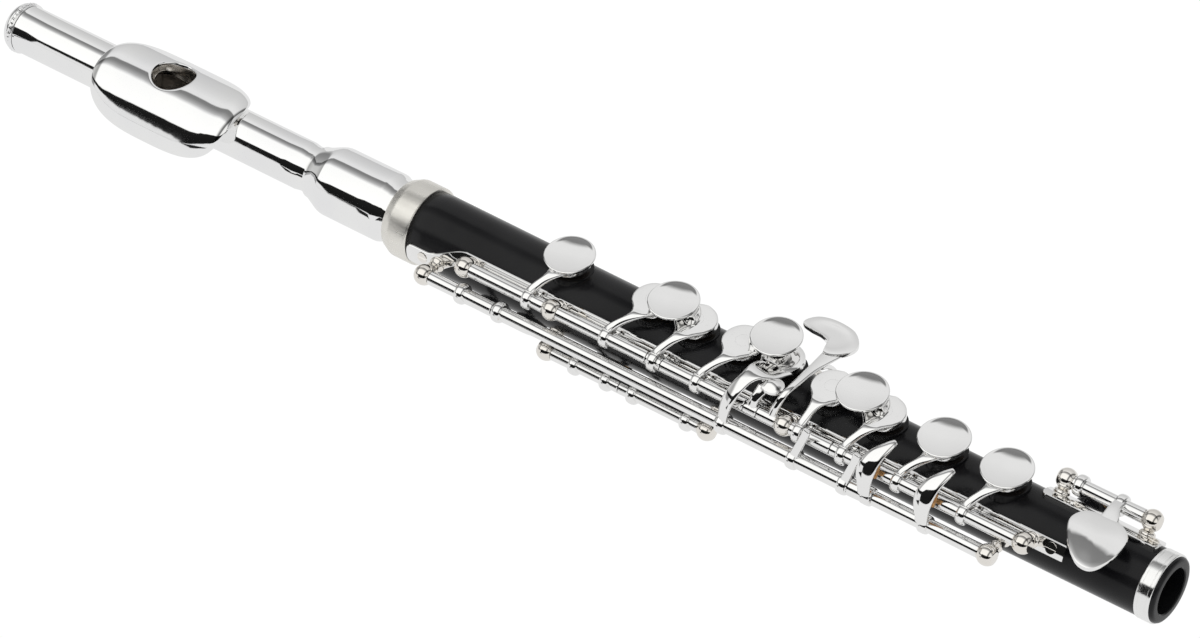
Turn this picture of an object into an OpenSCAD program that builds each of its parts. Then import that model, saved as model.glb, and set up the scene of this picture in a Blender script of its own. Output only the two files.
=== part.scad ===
// Piccolo: metal head joint on a moulded body with a full set of keys.
// Frame: the origin is the centre of the foot's end face, +X runs out of the
// foot along the bore, +Z is up through the finger keys, and the hinge rods
// lie on the -Y side. Stations (u) are counted from the crown's outer end.

/* [Whole instrument] */
// Overall length, crown to foot
total_l = 318; // [310:1:330]
// Roundness of the turned parts
round_fn = 64; // [32:8:128]

/* [Head joint] */
// Outer radius of the head tube
head_r = 5.75; // [5.6:0.05:5.9]
// Wall of the head tube
head_wall = 0.55; // [0.4:0.05:0.6]
// Centre of the embouchure hole
mouth_u = 49.6; // [47:0.2:52]
// Radius of the embouchure hole at the lip plate
mouth_r = 5.2; // [4.8:0.1:5.3]
// Radius of the curve across the lip plate
lip_curve_r = 13.9; // [13.5:0.1:14.5]
// Thickness of the lip plate
lip_t = 0.7; // [0.5:0.1:0.9]
// Half the length of the lip plate along the tube
lip_half_l = 21; // [19:0.5:22]
// Outer radius of the metal barrel over the tenon
barrel_r = 8.2; // [8:0.1:8.4]

/* [Body] */
// Outer radius of the body below the top ring
body_r_head = 8.55; // [8.4:0.05:8.7]
// Outer radius of the body at the foot
body_r_foot = 7.6; // [7.5:0.05:7.7]
// Bore radius at the foot, where a stand peg goes in
foot_bore_r = 5.2; // [5:0.05:5.3]
// Length of the straight bore at the foot
foot_bore_l = 20; // [15:1:25]
// Height of the flat tone hole seats above the bore axis
seat_z = 8.5; // [8.45:0.05:8.6]

/* [Keywork] */
// Outer radius of a hinge tube
tube_r = 1.6; // [1.5:0.05:1.65]
// Radius of the steel rods in the hinge tubes
steel_r = 0.8; // [0.7:0.05:0.85]
// Running clearance between steel and tube
run_gap = 0.04; // [0.02:0.01:0.06]
// Radius of a post's ball
ball_r = 2.4; // [2.2:0.1:2.5]
// Radius of a key cup
cup_r = 4.75; // [4.5:0.05:4.8]
// Radius of a round finger touch
touch_r = 5.75; // [5.5:0.05:5.8]
// How far an open key stands up from its seat, in degrees
open_deg = 6.3; // [5.5:0.1:6.5]

/* [Hidden] */

// Hinge axes as [y, z]
main_axis = [-11, 5.2];
outer_axis = [-14, 0.4];
thumb_axis = [-10.5, -7.6];
e_flat_axis = [6.8, 9.4];
g_sharp_axis = [11.2, -1.5];

// Stations of the posts on each hinge line
main_post_u = [142.7, 166.6, 228.4, 288.5];
outer_post_u = [133.6, 282];
thumb_post_u = [164.8, 208.1];
e_flat_post_u = [287.4, 308.3];
g_sharp_post_u = [220.4, 236.6];
post_half = 1.8;      // half the width between a ball's flats
end_gap = 0.06;       // play between neighbouring hinge tubes

// Finger keys: hub station and cup station
c_hub = 160.5;  c_cup = 163.7;
bb_hub = 181.6; bb_cup = 186.3;
a_hub = 194.4;  a_cup = 197.6;
g_hub = 205.9;  g_cup = 209.8;
low_hub = 214.8; low_cup = 219.6; low_cup_y = 1.5;
fs_hub = 232.4; fs_cup = 233.3;
f_hub = 243.6;  f_cup = 246.5;
e_hub = 257.6;  e_cup = 261.7;
d_hub = 274;    d_cup = 277.4;
low_open_deg = 4.6;

// Closed keys: stations and the angle of each seat round the body from +Y
ds_cup = 146.4; d_cup_t = 156.4; trill_a = 238;
thumb_cup = 177; thumb_a = 268;
gs_cup = 228.5; gs_a = -45;
ef_cup = 294;   ef_a = 15;
trill_cup_r = 3.7;

// Pads and cups, measured out from the seat
pad_gap = 0.05;       // air left under a closed pad
pad_t = 1.0;
cup_t = 1.9;          // seat side of the pad to the cup's top
pad_r = 4.2;
side_seat_r = 8.75;   // height of the seats on the sides and the back
trill_seat_r = side_seat_r + 0.2;
boss_r = 5;
hole_r = 3.1;
rib_t = 0.9;
collar_r = 2.2;
crown_l = 4.5;        // length of the end cap that shows
screw_l = 1.5;        // length of a screw in the body

body_u = 124.2;       // where the body's outer cone starts
ring_u = 116.7;
tenon_u = 101;
tenon_r = 6.7;
socket_r = 7.18;
head_bore_r = head_r - head_wall;
lip_c = [-0.5, lip_curve_r * -1 + 8.2];   // centre of the lip plate's curve

silver = [0.87, 0.88, 0.9];
nickel = [0.8, 0.79, 0.74];
black_abs = [0.06, 0.06, 0.07];
cork_tan = [0.72, 0.47, 0.25];
felt_tan = [0.85, 0.74, 0.55];

function st(u) = u - total_l;
function body_r(u) = body_r_head + (body_r_foot - body_r_head) * (u - body_u) / (total_l - body_u);

// A straight round bar along the instrument, on the line [y, z]
module bar_x(axis, u0, u1, r)
    translate([st(u0), axis[0], axis[1]]) rotate([0, 90, 0]) cylinder(h = u1 - u0, r = r, $fn = round_fn);

// A cone on the bore axis
module cone_x(u0, u1, r0, r1)
    translate([st(u0), 0, 0]) rotate([0, 90, 0]) cylinder(h = u1 - u0, r1 = r0, r2 = r1, $fn = round_fn);

// A turned shape on the bore axis from [u, r] points
module turned(points)
    rotate([0, 90, 0]) rotate_extrude($fn = round_fn)
        polygon([for (p = points) [p[1], st(p[0])]]);

// Puts a child drawn up +Z so that it points out of the body at angle a
module out(u, a) translate([st(u), 0, 0]) rotate([a - 90, 0, 0]) children();

// Turns its children about a hinge line
module swing(axis, deg)
    translate([0, axis[0], axis[1]]) rotate([deg, 0, 0]) translate([0, -axis[0], -axis[1]]) children();

// A straight flat bar between two points [u, y, z], w wide and t thick
module flat_bar(p, q, w, t) {
    d = [q[0] - p[0], q[1] - p[1], q[2] - p[2]];
    len = norm(d);
    translate([st(p[0]), p[1], p[2]])
        rotate([0, acos(d[2] / len), atan2(d[1], d[0])])
            translate([-t / 2, -w / 2, 0]) cube([t, w, len]);
}

// A hinge tube with its bore for the steel, and raised collars at some stations
module hinge_tube(axis, u0, u1, collars = [], r = tube_r, bore = steel_r + run_gap, cr = collar_r) {
    difference() {
        union() {
            bar_x(axis, u0 + end_gap, u1 - end_gap, r);
            for (c = collars) bar_x(axis, c - 1.1, c + 1.1, cr);
            children();
        }
        bar_x(axis, u0 - 1, u1 + 1, bore);
    }
}

// A post: a foot that fits the round surface lift above the body, a neck and a drilled ball
module post(u, axis, lift, bore) {
    a = atan2(axis[1], axis[0]);
    reach = norm(axis);
    base = body_r(u) + lift - 0.5;
    difference() {
        out(u, a) union() {
            translate([0, 0, base]) cylinder(h = reach - base, r = 1.25, $fn = 32);
            translate([0, 0, base]) cylinder(h = 1.3, r = 1.85, $fn = 32);
            intersection() {
                translate([0, 0, reach]) sphere(r = ball_r, $fn = 48);
                translate([-post_half, -4, reach - 4]) cube([2 * post_half, 8, 8]);
            }
        }
        bar_x(axis, u - 4, u + 4, bore);
        cone_x(u - 4, u + 4, body_r(u - 4) + lift, body_r(u + 4) + lift);
    }
}

// A key cup drawn closed on a seat at height seat, opening down; the pad's room is cut out
module cup(u, a, seat, r = cup_r, y = 0)
    out(u, a) translate([0, y, seat + pad_gap]) difference() {
        translate([0, 0, 0.35]) cylinder(h = cup_t - 0.35, r = r, $fn = round_fn);
        translate([0, 0, -1]) cylinder(h = pad_t + 1, r = r - 0.55, $fn = round_fn);
    }

// The room under a cup that a union with an arm must leave for the pad
module pad_room(u, a, seat, r = cup_r, y = 0)
    out(u, a) translate([0, y, seat - 2]) cylinder(h = 2 + pad_gap + pad_t, r = r - 0.55, $fn = round_fn);

// The pad in that cup
module pad(u, a, seat, r = cup_r, y = 0)
    color(felt_tan) out(u, a) translate([0, y, seat + pad_gap]) cylinder(h = pad_t, r = r - 0.55, $fn = round_fn);

// A round finger touch with a shallow dish in its top
module touch(u, y, z)
    translate([st(u), y, z]) difference() {
        cylinder(h = 1, r = touch_r, $fn = round_fn);
        translate([0, 0, 45.72]) sphere(r = 45, $fn = round_fn);
    }

// The arm from a hub on the main line up to the edge of a cup
module key_arm(hub, cup_u, y = 0)
    hull() {
        translate([st(hub), main_axis[0] + 0.5, main_axis[1] + 1.5]) cylinder(h = 0.9, r = 1.05, $fn = 24);
        translate([st(cup_u), y - 3, seat_z + pad_gap + pad_t + 0.15]) cylinder(h = 0.7, r = 2.4, $fn = 24);
    }

// A finger key on the main line, standing open; children are what stands on its cup
module finger_key(u0, u1, hub, cup_u, y = 0)
    swing(main_axis, open_deg) difference() {
        union() {
            hinge_tube(main_axis, u0, u1, [hub]) key_arm(hub, cup_u, y);
            cup(cup_u, 90, seat_z, y = y);
            children();
        }
        pad_room(cup_u, 90, seat_z, y = y);
        translate([st(cup_u), 0, 0]) cylinder(h = seat_z + 0.1, r = boss_r + 0.15, $fn = round_fn);
        bar_x(main_axis, u0 - 1, u1 + 1, steel_r + run_gap);
    }

module finger_pad(cup_u, y = 0) swing(main_axis, open_deg) pad(cup_u, 90, seat_z, y = y);

module seat_boss(u, a, r, seat) out(u, a) cylinder(h = seat, r = r, $fn = round_fn);

// ---- Head joint ----
module crown() color(silver) difference() {
    turned([[0, 0], [0.2, 2.2], [0.8, 4.3], [1.7, 5.6], [2.6, 6.05], [3.1, 6.25], [crown_l - 0.1, 6.25],
        [crown_l - 0.1, head_bore_r - 0.05], [8.5, head_bore_r - 0.05], [8.5, 0]]);
    bar_x([0, 0], 1.7, 9, 1.65);
}

module stopper_screw() color(nickel) union() {
    bar_x([0, 0], 4.5, 31, 1.6);
    bar_x([0, 0], 31, 32, 1.2);
}

module stopper_cork() color(cork_tan) difference() {
    bar_x([0, 0], 31.8, 40.2, head_bore_r - 0.05);
    bar_x([0, 0], 31, 32, 1.2);
}

module stopper_plates() color(silver) union() {
    difference() {
        bar_x([0, 0], 31, 31.8, 4.9);
        bar_x([0, 0], 30, 32, 1.2);
    }
    bar_x([0, 0], 40.2, 41.2, 4.9);
}

module head_tube() color(silver) difference() {
    turned([[crown_l, head_bore_r], [crown_l, 5.95], [6.5, 5.82], [8.5, head_r], [88.4, head_r],
        [90, 5.45], [98, 5.45], [98, head_bore_r]]);
    translate([st(mouth_u), 0, 0]) cylinder(h = 12, r = 4.6, $fn = round_fn);
}

// Outline of the lip plate, seen square to its middle
function lip_outline(n = 48, half_l = lip_half_l, half_w = 12.3) =
    [for (i = [0:n - 1]) let (t = 360 * i / n, c = cos(t), s = sin(t))
        [half_l * sign(c) * pow(abs(c), 0.62), half_w * sign(s) * pow(abs(s), 0.75)]];

module lip_shell(r) translate([st(mouth_u) - 40, lip_c[0], lip_c[1]]) rotate([0, 90, 0])
    cylinder(h = 80, r = r, $fn = 128);

module lip_plate() color(silver) difference() {
    intersection() {
        difference() {
            lip_shell(lip_curve_r);
            lip_shell(lip_curve_r - lip_t);
        }
        translate([st(mouth_u) - 2, lip_c[0], lip_c[1]]) rotate([15, 0, 0])
            linear_extrude(height = 20) polygon(lip_outline());
    }
    translate([st(mouth_u), 0, 0]) cylinder(h = 12, r = mouth_r, $fn = round_fn);
}

module mouth_chimney() color(silver) difference() {
    intersection() {
        translate([st(mouth_u), 0, 0.5]) cylinder(h = 10, r = 5.6, $fn = round_fn);
        lip_shell(lip_curve_r - lip_t);
    }
    translate([st(mouth_u), 0, 4]) cylinder(h = 3.6, r1 = 4.6, r2 = mouth_r, $fn = round_fn);
    translate([st(mouth_u), 0, -1]) cylinder(h = 5.01, r = 4.6, $fn = round_fn);
    translate([st(mouth_u), 0, 7.59]) cylinder(h = 3, r = mouth_r, $fn = round_fn);
    bar_x([0, 0], mouth_u - 20, mouth_u + 20, head_r);
}

module barrel() color(silver) difference() {
    turned([[92, 5.45], [92, 6.2], [93.4, 6.4], [97, 8], [98, barrel_r], [112.8, barrel_r],
        [114.4, 7.55], [116.5, 7.5], [116.5, socket_r], [98.3, socket_r], [98, 6], [98, 5.45]]);
}

// ---- Body ----
module bore_cut() {
    cone_x(tenon_u - 1, total_l - foot_bore_l, 5.6, foot_bore_r);
    bar_x([0, 0], total_l - foot_bore_l - 0.01, total_l + 1, foot_bore_r);
}

module body_tube() color(black_abs) difference() {
    union() {
        turned([[tenon_u, 0], [tenon_u, 6.3], [tenon_u + 0.6, tenon_r], [ring_u, tenon_r], [ring_u, 8],
            [body_u, 8], [body_u, body_r_head], [317.1, body_r(317.1)], [317.7, 7.3], [total_l, 6.85],
            [total_l, 0]]);
        for (u = [c_cup, bb_cup, a_cup, g_cup, fs_cup, f_cup, e_cup, d_cup]) seat_boss(u, 90, boss_r, seat_z);
        translate([st(low_cup), low_cup_y, 0]) cylinder(h = seat_z, r = boss_r, $fn = round_fn);
        seat_boss(gs_cup, gs_a, boss_r, side_seat_r);
        seat_boss(ef_cup, ef_a, boss_r, side_seat_r);
        seat_boss(thumb_cup, thumb_a, boss_r, side_seat_r);
        for (u = [ds_cup, d_cup_t]) seat_boss(u, trill_a, trill_cup_r + 0.2, trill_seat_r);
    }
    bore_cut();
    for (u = [c_cup, bb_cup, a_cup, g_cup, fs_cup, f_cup, e_cup, d_cup]) seat_boss(u, 90, hole_r, 12);
    translate([st(low_cup), low_cup_y, 0]) cylinder(h = 12, r = hole_r, $fn = round_fn);
    seat_boss(gs_cup, gs_a, hole_r, 12);
    seat_boss(ef_cup, ef_a, hole_r, 12);
    seat_boss(thumb_cup, thumb_a, hole_r, 12);
    for (u = [ds_cup, d_cup_t]) seat_boss(u, trill_a, 2.1, 12);
    for (s = screws_on_rib) screw_hole(s[0], s[1], body_r(s[0]) - screw_l - 0.1);
    for (s = screws_on_plate) screw_hole(s[0], s[1], body_r(s[0]) - screw_l - 0.1);
    foot_groove();
}

// The seat of the foot ring, turned into the body
module foot_groove() difference() {
    bar_x([0, 0], 313.6, 317.1, 9);
    bar_x([0, 0], 313, 318, 7.1);
}

module body_ring() color(nickel)
    turned([[ring_u, 8], [ring_u, 8.3], [ring_u + 1.7, 9.15], [ring_u + 2.1, 9.3], [body_u - 0.2, 9.3],
        [body_u, 9.15], [body_u, 8]]);

module tenon_cork() color(cork_tan)
    turned([[103, tenon_r], [103, 7], [103.5, 7.13], [114.5, 7.13], [115, 7], [115, tenon_r]]);

module foot_ring() color(silver)
    turned([[313.6, 7.1], [313.6, 7.75], [313.9, 7.85], [316.8, 7.85], [317.1, 7.7], [317.1, 7.1]]);

// A curved strap on the body between two stations and two angles
module strap(u0, u1, a0, a1) difference() {
    intersection() {
        cone_x(u0, u1, body_r(u0) + rib_t, body_r(u1) + rib_t);
        out((u0 + u1) / 2, (a0 + a1) / 2)
            linear_extrude(height = 14)
                polygon([[(u0 - u1) / 2, -strap_w(a0, a1)], [(u1 - u0) / 2, -strap_w(a0, a1)],
                    [(u1 - u0) / 2, strap_w(a0, a1)], [(u0 - u1) / 2, strap_w(a0, a1)]]);
    }
    cone_x(u0 - 1, u1 + 1, body_r(u0 - 1), body_r(u1 + 1));
}
function strap_w(a0, a1) = 8.9 * sin((a1 - a0) / 2);

module screw_hole(u, a, base = 0) out(u, a) translate([0, 0, base]) cylinder(h = 14, r = 1.02, $fn = 32);

module main_rib() color(silver) difference() {
    union() {
        strap(137.5, 296.5, 141, 166);
        strap(132.5, 140.5, 156, 178);
        strap(127.5, 136.5, 166, 203);
        intersection() {
            strap(124.6, 130.6, 166, 203);
            out(127.8, 184.5) cylinder(h = 14, r = 2.95, $fn = 48);
        }
    }
    for (s = screws_on_rib) screw_hole(s[0], s[1]);
    out(outer_post_u[1], atan2(outer_axis[1], outer_axis[0])) cylinder(h = 14, r = 1.9, $fn = 32);
}

screws_on_rib = [[129.3, 180], [172.5, 153], [222.6, 153], [293.2, 153]];
screws_on_plate = [[293, 70], [311, 70]];

module e_flat_plate() color(silver) difference() {
    strap(284.6, 313, 45, 84);
    for (s = screws_on_plate) screw_hole(s[0], s[1]);
    seat_boss(ef_cup, ef_a, boss_r + 0.05, 14);
}

module screw(u, a) out(u, a) translate([0, 0, body_r(u) - screw_l]) difference() {
    union() {
        cylinder(h = screw_l + rib_t, r = 1, $fn = 32);
        translate([0, 0, screw_l + rib_t]) cylinder(h = 0.1, r = 1.3, $fn = 32);
    }
    translate([-2, -0.2, screw_l + rib_t - 0.15]) cube([4, 0.4, 1]);
}

module rib_screws() color(nickel) {
    for (s = screws_on_rib) screw(s[0], s[1]);
    for (s = screws_on_plate) screw(s[0], s[1]);
}

// ---- Posts and steels ----
module main_posts() color(nickel)
    for (u = main_post_u) post(u, main_axis, rib_t, steel_r);

module outer_posts() color(nickel) {
    post(outer_post_u[0], outer_axis, rib_t, steel_r + run_gap);
    post(outer_post_u[1], outer_axis, 0, steel_r + run_gap);
}

module thumb_posts() color(nickel)
    for (u = thumb_post_u) post(u, thumb_axis, 0, steel_r);

module e_flat_posts() color(nickel)
    for (u = e_flat_post_u) post(u, e_flat_axis, rib_t, steel_r);

module g_sharp_posts() color(nickel)
    for (u = g_sharp_post_u) post(u, g_sharp_axis, 0, steel_r);

module steel(axis, u0, u1) bar_x(axis, u0 - 1.7, u1 + 1.7, steel_r);

module main_steels() color(nickel) {
    bar_x(main_axis, main_post_u[0] - 1.7, main_post_u[2] - 0.1, steel_r);
    bar_x(main_axis, main_post_u[2] + 0.1, main_post_u[3] + 1.7, steel_r);
}

module short_steels() color(nickel) {
    steel(thumb_axis, thumb_post_u[0], thumb_post_u[1]);
    steel(e_flat_axis, e_flat_post_u[0], e_flat_post_u[1]);
    steel(g_sharp_axis, g_sharp_post_u[0], g_sharp_post_u[1]);
}

// Needle springs run beside the hinge tubes, between them and the body
spring_r = 0.17;
spring_in = 0.79;      // how far out the springs lie, as a share of the hinge line's distance
main_springs = [[144.55, 156], [168.45, 178], [212, 226.55], [230.25, 240], [270, 287.25]];
module needle_springs() color(nickel)
    for (s = main_springs)
        bar_x([main_axis[0] * spring_in, main_axis[1] * spring_in], s[0], s[1], spring_r);

// ---- Finger keys on the main line ----
p2_end = main_post_u[0] + post_half;
p3_start = main_post_u[1] - post_half;
p3_end = main_post_u[1] + post_half;
pm_start = main_post_u[2] - post_half;
pm_end = main_post_u[2] + post_half;
pe_start = main_post_u[3] - post_half;
bb_end = 192.6; a_end = 196.5; g_end = 218.4; lever_end = 221.8;
fs_end = 240.7; f_end = 250.2; e_end = 264.2;
stack_z = seat_z + pad_gap + cup_t;   // top of a closed cup

module c_key() color(silver) finger_key(p2_end, p3_start, c_hub, c_cup) touch(c_cup, 0, stack_z);
module c_pad() finger_pad(c_cup);

module b_flat_key() color(silver) finger_key(p3_end, bb_end, bb_hub, bb_cup);
module b_flat_pad() finger_pad(bb_cup);

module a_key() color(silver)
    finger_key(bb_end, a_end, a_hub, a_cup) stacked_touch(a_cup - 6, a_cup, 0.3, 1.3);
module a_pad() finger_pad(a_cup);

// A touch carried above two cups, standing on the foot-side one
module stacked_touch(u, cup_u, y, rise) {
    touch(u, y, stack_z + rise);
    translate([st(cup_u) - 3.2, y - 1.4, stack_z - 0.3]) cube([3.4, 2.8, rise + 0.32]);
}

module g_key() color(silver) finger_key(a_end, g_end, g_hub, g_cup, y = 0.4) {
    touch(216.8, 3, stack_z + 2.2);
    translate([st(211), 0, stack_z - 0.3]) cube([2.6, 3.6, 2.6]);
}
module g_pad() finger_pad(g_cup, y = 0.4);

module f_sharp_key() color(silver) finger_key(pm_end, fs_end, fs_hub, fs_cup);
module f_sharp_pad() finger_pad(fs_cup);

module f_key() color(silver)
    finger_key(fs_end, f_end, f_hub, f_cup) stacked_touch(f_cup - 5.8, f_cup, 0.5, 1.3);
module f_pad() finger_pad(f_cup);

module e_key() color(silver) finger_key(f_end, e_end, e_hub, e_cup) touch(e_cup, 0, stack_z);
module e_pad() finger_pad(e_cup);

module d_key() color(silver) finger_key(e_end, pe_start, d_hub, d_cup) touch(d_cup, 0, stack_z);
module d_pad() finger_pad(d_cup);

// ---- Outer line: low G key and the two trill keys ----
trill_tube_r = 1.3;      // the D trill tube where it runs inside the low G sleeve
sleeve_r = 1.85;
low_u0 = 213.4; low_u1 = 247.6;
arch = [-4.2, 1.8];      // centre of the low G arm's arch over the main line
touch_arc = [-5.5, 3];   // centre of the trill touches' curve

// A curved arm: part of a ring about [y, z], between two angles
module arc_arm(c, r0, r1, w, a0, a1) difference() {
    translate([-w / 2, c[0], c[1]]) rotate([0, 90, 0]) cylinder(h = w, r = r1, $fn = 96);
    translate([-w, c[0], c[1]]) rotate([0, 90, 0]) cylinder(h = 2 * w, r = r0, $fn = 96);
    translate([0, c[0], c[1]]) {
        rotate([a1, 0, 0]) translate([-w, -40, 0]) cube([2 * w, 80, 40]);
        rotate([a0, 0, 0]) translate([-w, -40, -40]) cube([2 * w, 80, 40]);
    }
}

module low_g_key() color(silver) swing(outer_axis, low_open_deg) {
    hinge_tube(outer_axis, low_u0, low_u1, [low_hub, 233.2, 246.2], sleeve_r, trill_tube_r + run_gap, 2.4) {
        intersection() {
            translate([st(low_hub), -14.8, 0]) rotate([0, 0, -23]) translate([0, 14.8, 0])
                arc_arm(arch, 9.7, 10.7, 2, 60, 182);
            translate([st(200), -30, 0.4]) cube([40, 28, 30]);
        }
        flat_bar([233.2, -14.8, 0.9], [236, -12.8, 9.4], 1.6, 1.1);
        flat_bar([246.2, -14.8, 0.9], [248.8, -12.8, 9.6], 1.6, 1.1);
    }
    translate([st(low_cup), low_cup_y, seat_z + pad_gap]) difference() {
        union() {
            translate([0, 0, 0.35]) cylinder(h = cup_t - 0.35, r = cup_r, $fn = round_fn);
            translate([-0.8, -5.4, cup_t - 0.9]) cube([2.4, 4, 2.1]);
        }
        translate([0, 0, -1]) cylinder(h = pad_t + 1, r = cup_r - 0.55, $fn = round_fn);
    }
}

module low_g_pad() color(felt_tan) swing(outer_axis, low_open_deg)
    translate([st(low_cup), low_cup_y, seat_z + pad_gap]) cylinder(h = pad_t, r = cup_r - 0.55, $fn = round_fn);

// Outline of a trill touch, along the instrument and up its curve
module trill_blade(u) {
    intersection() {
        translate([st(u), 0, 0]) arc_arm(touch_arc, 9.4, 10.4, 9, 105, 190);
        translate([st(u), touch_arc[0], touch_arc[1]]) rotate([60, 0, 0])
            linear_extrude(height = 14)
                polygon([[-1.5, -8.5], [1.5, -8.5], [1.7, -4.6], [2.7, -2.6], [3, 0], [3.4, 4], [3.6, 7.5], [2.9, 8.4],
                    [2.2, 8.2], [-0.3, 4], [-2.6, -1], [-2.2, -5]]);
    }
}

module trill_arm(u, cup_u) {
    flat_bar([u, -14.4, -0.8], [cup_u, -7.2, -8.9], 2.4, 1.2);
    out(cup_u, trill_a) translate([-1.2, -2.4, trill_seat_r + pad_gap + cup_t - 0.5]) cube([2.4, 4.8, 1.4]);
}

t1_u = 251.8;
t2_u = 266.3;
module d_trill() color(silver) {
    hinge_tube(outer_axis, 153, t1_u + 1.8, [154.6], trill_tube_r) {
        bar_x(outer_axis, 153.06, low_u0 - 0.1, tube_r);
        bar_x(outer_axis, low_u1 + 0.1, t1_u + 1.7, 2);
        trill_blade(t1_u);
        trill_arm(154.6, d_cup_t);
    }
    cup(d_cup_t, trill_a, trill_seat_r, r = trill_cup_r);
}
module d_trill_pad() pad(d_cup_t, trill_a, trill_seat_r, r = trill_cup_r);

// Corks under the trill touches, facing the main line
module touch_cork(u) color(cork_tan) intersection() {
    translate([st(u), 0, 0]) arc_arm(touch_arc, 8.5, 9.4, 3, 142, 160);
    translate([st(u) - 1.5, -20, 0]) cube([3, 20, 20]);
}
module d_trill_cork() touch_cork(t1_u + 0.6);

module d_sharp_trill() color(silver) {
    difference() {
        union() {
            bar_x(outer_axis, outer_post_u[0] + post_half + 0.06, 152.9, tube_r);
            bar_x(outer_axis, 143.2, 145.4, collar_r);
            bar_x(outer_axis, t1_u + 1.9, outer_post_u[1] - post_half - 0.06, tube_r);
            bar_x(outer_axis, t2_u - 1.6, t2_u + 1.6, 2);
            trill_blade(t2_u);
            trill_arm(144.3, ds_cup);
        }
        bar_x(outer_axis, 130, 285, steel_r);
    }
    cup(ds_cup, trill_a, trill_seat_r, r = trill_cup_r);
}
module d_sharp_pad() pad(ds_cup, trill_a, trill_seat_r, r = trill_cup_r);
module d_sharp_cork() touch_cork(t2_u + 0.6);

// The long steel of the outer line turns with the D sharp trill key
module trill_steel() color(nickel) bar_x(outer_axis, outer_post_u[0] - 1.7, outer_post_u[1] + 1.7, steel_r);

// ---- Thumb keys ----
thumb_split = 185;
thumb_open_deg = -6.3;
module b_thumb() color(silver) swing(thumb_axis, thumb_open_deg) difference() {
    union() {
        hinge_tube(thumb_axis, thumb_post_u[0] + post_half, thumb_split, [172.9, 181.5]) {
            flat_bar([172.9, -9.4, -8.6], [175.2, -3, -10.2], 2.2, 1.2);
            flat_bar([181.5, -9.4, -8.6], [179, -3, -10.2], 2.2, 1.2);
        }
        cup(thumb_cup, thumb_a, side_seat_r);
        out(thumb_cup, thumb_a) translate([-6, -9.5, side_seat_r + cup_t - 0.2]) cube([9.5, 8, 1.3]);
    }
    pad_room(thumb_cup, thumb_a, side_seat_r);
}
module b_thumb_pad() swing(thumb_axis, thumb_open_deg) pad(thumb_cup, thumb_a, side_seat_r);

module b_flat_thumb() color(silver) swing(thumb_axis, thumb_open_deg)
    hinge_tube(thumb_axis, thumb_split, thumb_post_u[1] - post_half, [188.7, 203]) {
        flat_bar([188.7, -9.6, -8.8], [188.7, -1.5, -12.2], 2.4, 1.2);
        translate([st(184.2), -2, -12.9]) cube([8.4, 9, 1.2]);
        flat_bar([203, -10.5, -6.4], [203, -8.9, -4], 2, 1);
    }

// ---- Levers beside the middle post ----
module b_flat_lever() color(silver) hinge_tube(main_axis, g_end, lever_end) {
    flat_bar([220.1, -11.3, 6], [221.2, -9.2, 10.4], 2.4, 1.1);
    translate([st(222.7), -7.6, 10.2]) rotate([4, 0, 0])
        linear_extrude(height = 1.2)
            polygon([for (i = [0:35]) let (t = i * 10) [2.8 * cos(t), 2.4 * sin(t)]]);
}

gs_arm_u = 227;
module g_sharp_lever() color(silver) {
    hinge_tube(main_axis, lever_end, pm_start)
        flat_bar([225.5, -11, 6.1], [gs_arm_u, -8.2, 11.5], 1.6, 1.2);
    translate([st(gs_arm_u) - 0.8, -8.6, 11.4]) cube([1.6, 17, 1.1]);
    spatula();
}

// The wing-shaped touch for the left little finger
module spatula() translate([st(0), 0, 11.7]) linear_extrude(height = 1.2)
    polygon([[226.2, 5.8], [228.6, 6.2], [230.6, 8.4], [231.4, 10.8], [230.6, 13], [228.2, 15.2], [225, 16],
        [221.6, 15.9], [218.8, 14.8], [217.2, 12.6], [217.4, 11], [219.5, 10.4], [222.6, 10.2], [225, 9]]);

module g_sharp_key() color(silver) difference() {
    union() {
        hinge_tube(g_sharp_axis, g_sharp_post_u[0] + post_half, g_sharp_post_u[1] - post_half) {
            translate([st(226.5), 0, 0]) arc_arm([0, 0], 10.3, 11.3, 2.2, -7, 68);
            flat_bar([gs_cup, 11.2, -1.9], [gs_cup, 9.8, -4.5], 2.6, 1.4);
        }
        cup(gs_cup, gs_a, side_seat_r);
    }
    pad_room(gs_cup, gs_a, side_seat_r);
}
module g_sharp_pad() pad(gs_cup, gs_a, side_seat_r);

// ---- E flat key ----
module e_flat_key() color(silver) {
    difference() {
        union() {
            hinge_tube(e_flat_axis, e_flat_post_u[0] + post_half, e_flat_post_u[1] - post_half, [290.9, 300.7]) {
                flat_bar([300.7, 6, 10.4], [302, -1.5, 10.9], 2.6, 1.2);
                flat_bar([290.9, 7.6, 9.2], [293.4, 10, 4.75], 2.6, 1.3);
            }
            cup(ef_cup, ef_a, side_seat_r);
        }
        pad_room(ef_cup, ef_a, side_seat_r);
    }
    translate([st(0), 0, 10.9]) rotate([9, 0, 0]) translate([0, 0, -0.7]) linear_extrude(height = 1.4)
        polygon([[295.6, -1.8], [297.2, -0.2], [300.5, 0.3], [304.5, 0.2], [307.2, -1.2], [308.4, -3.6],
            [308.5, -7.5], [307.6, -11], [306, -13.4], [303.8, -13.8], [301.5, -12.8], [298, -9.6],
            [295.6, -6], [295, -3.8]]);
}
module e_flat_pad() pad(ef_cup, ef_a, side_seat_r);

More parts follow.
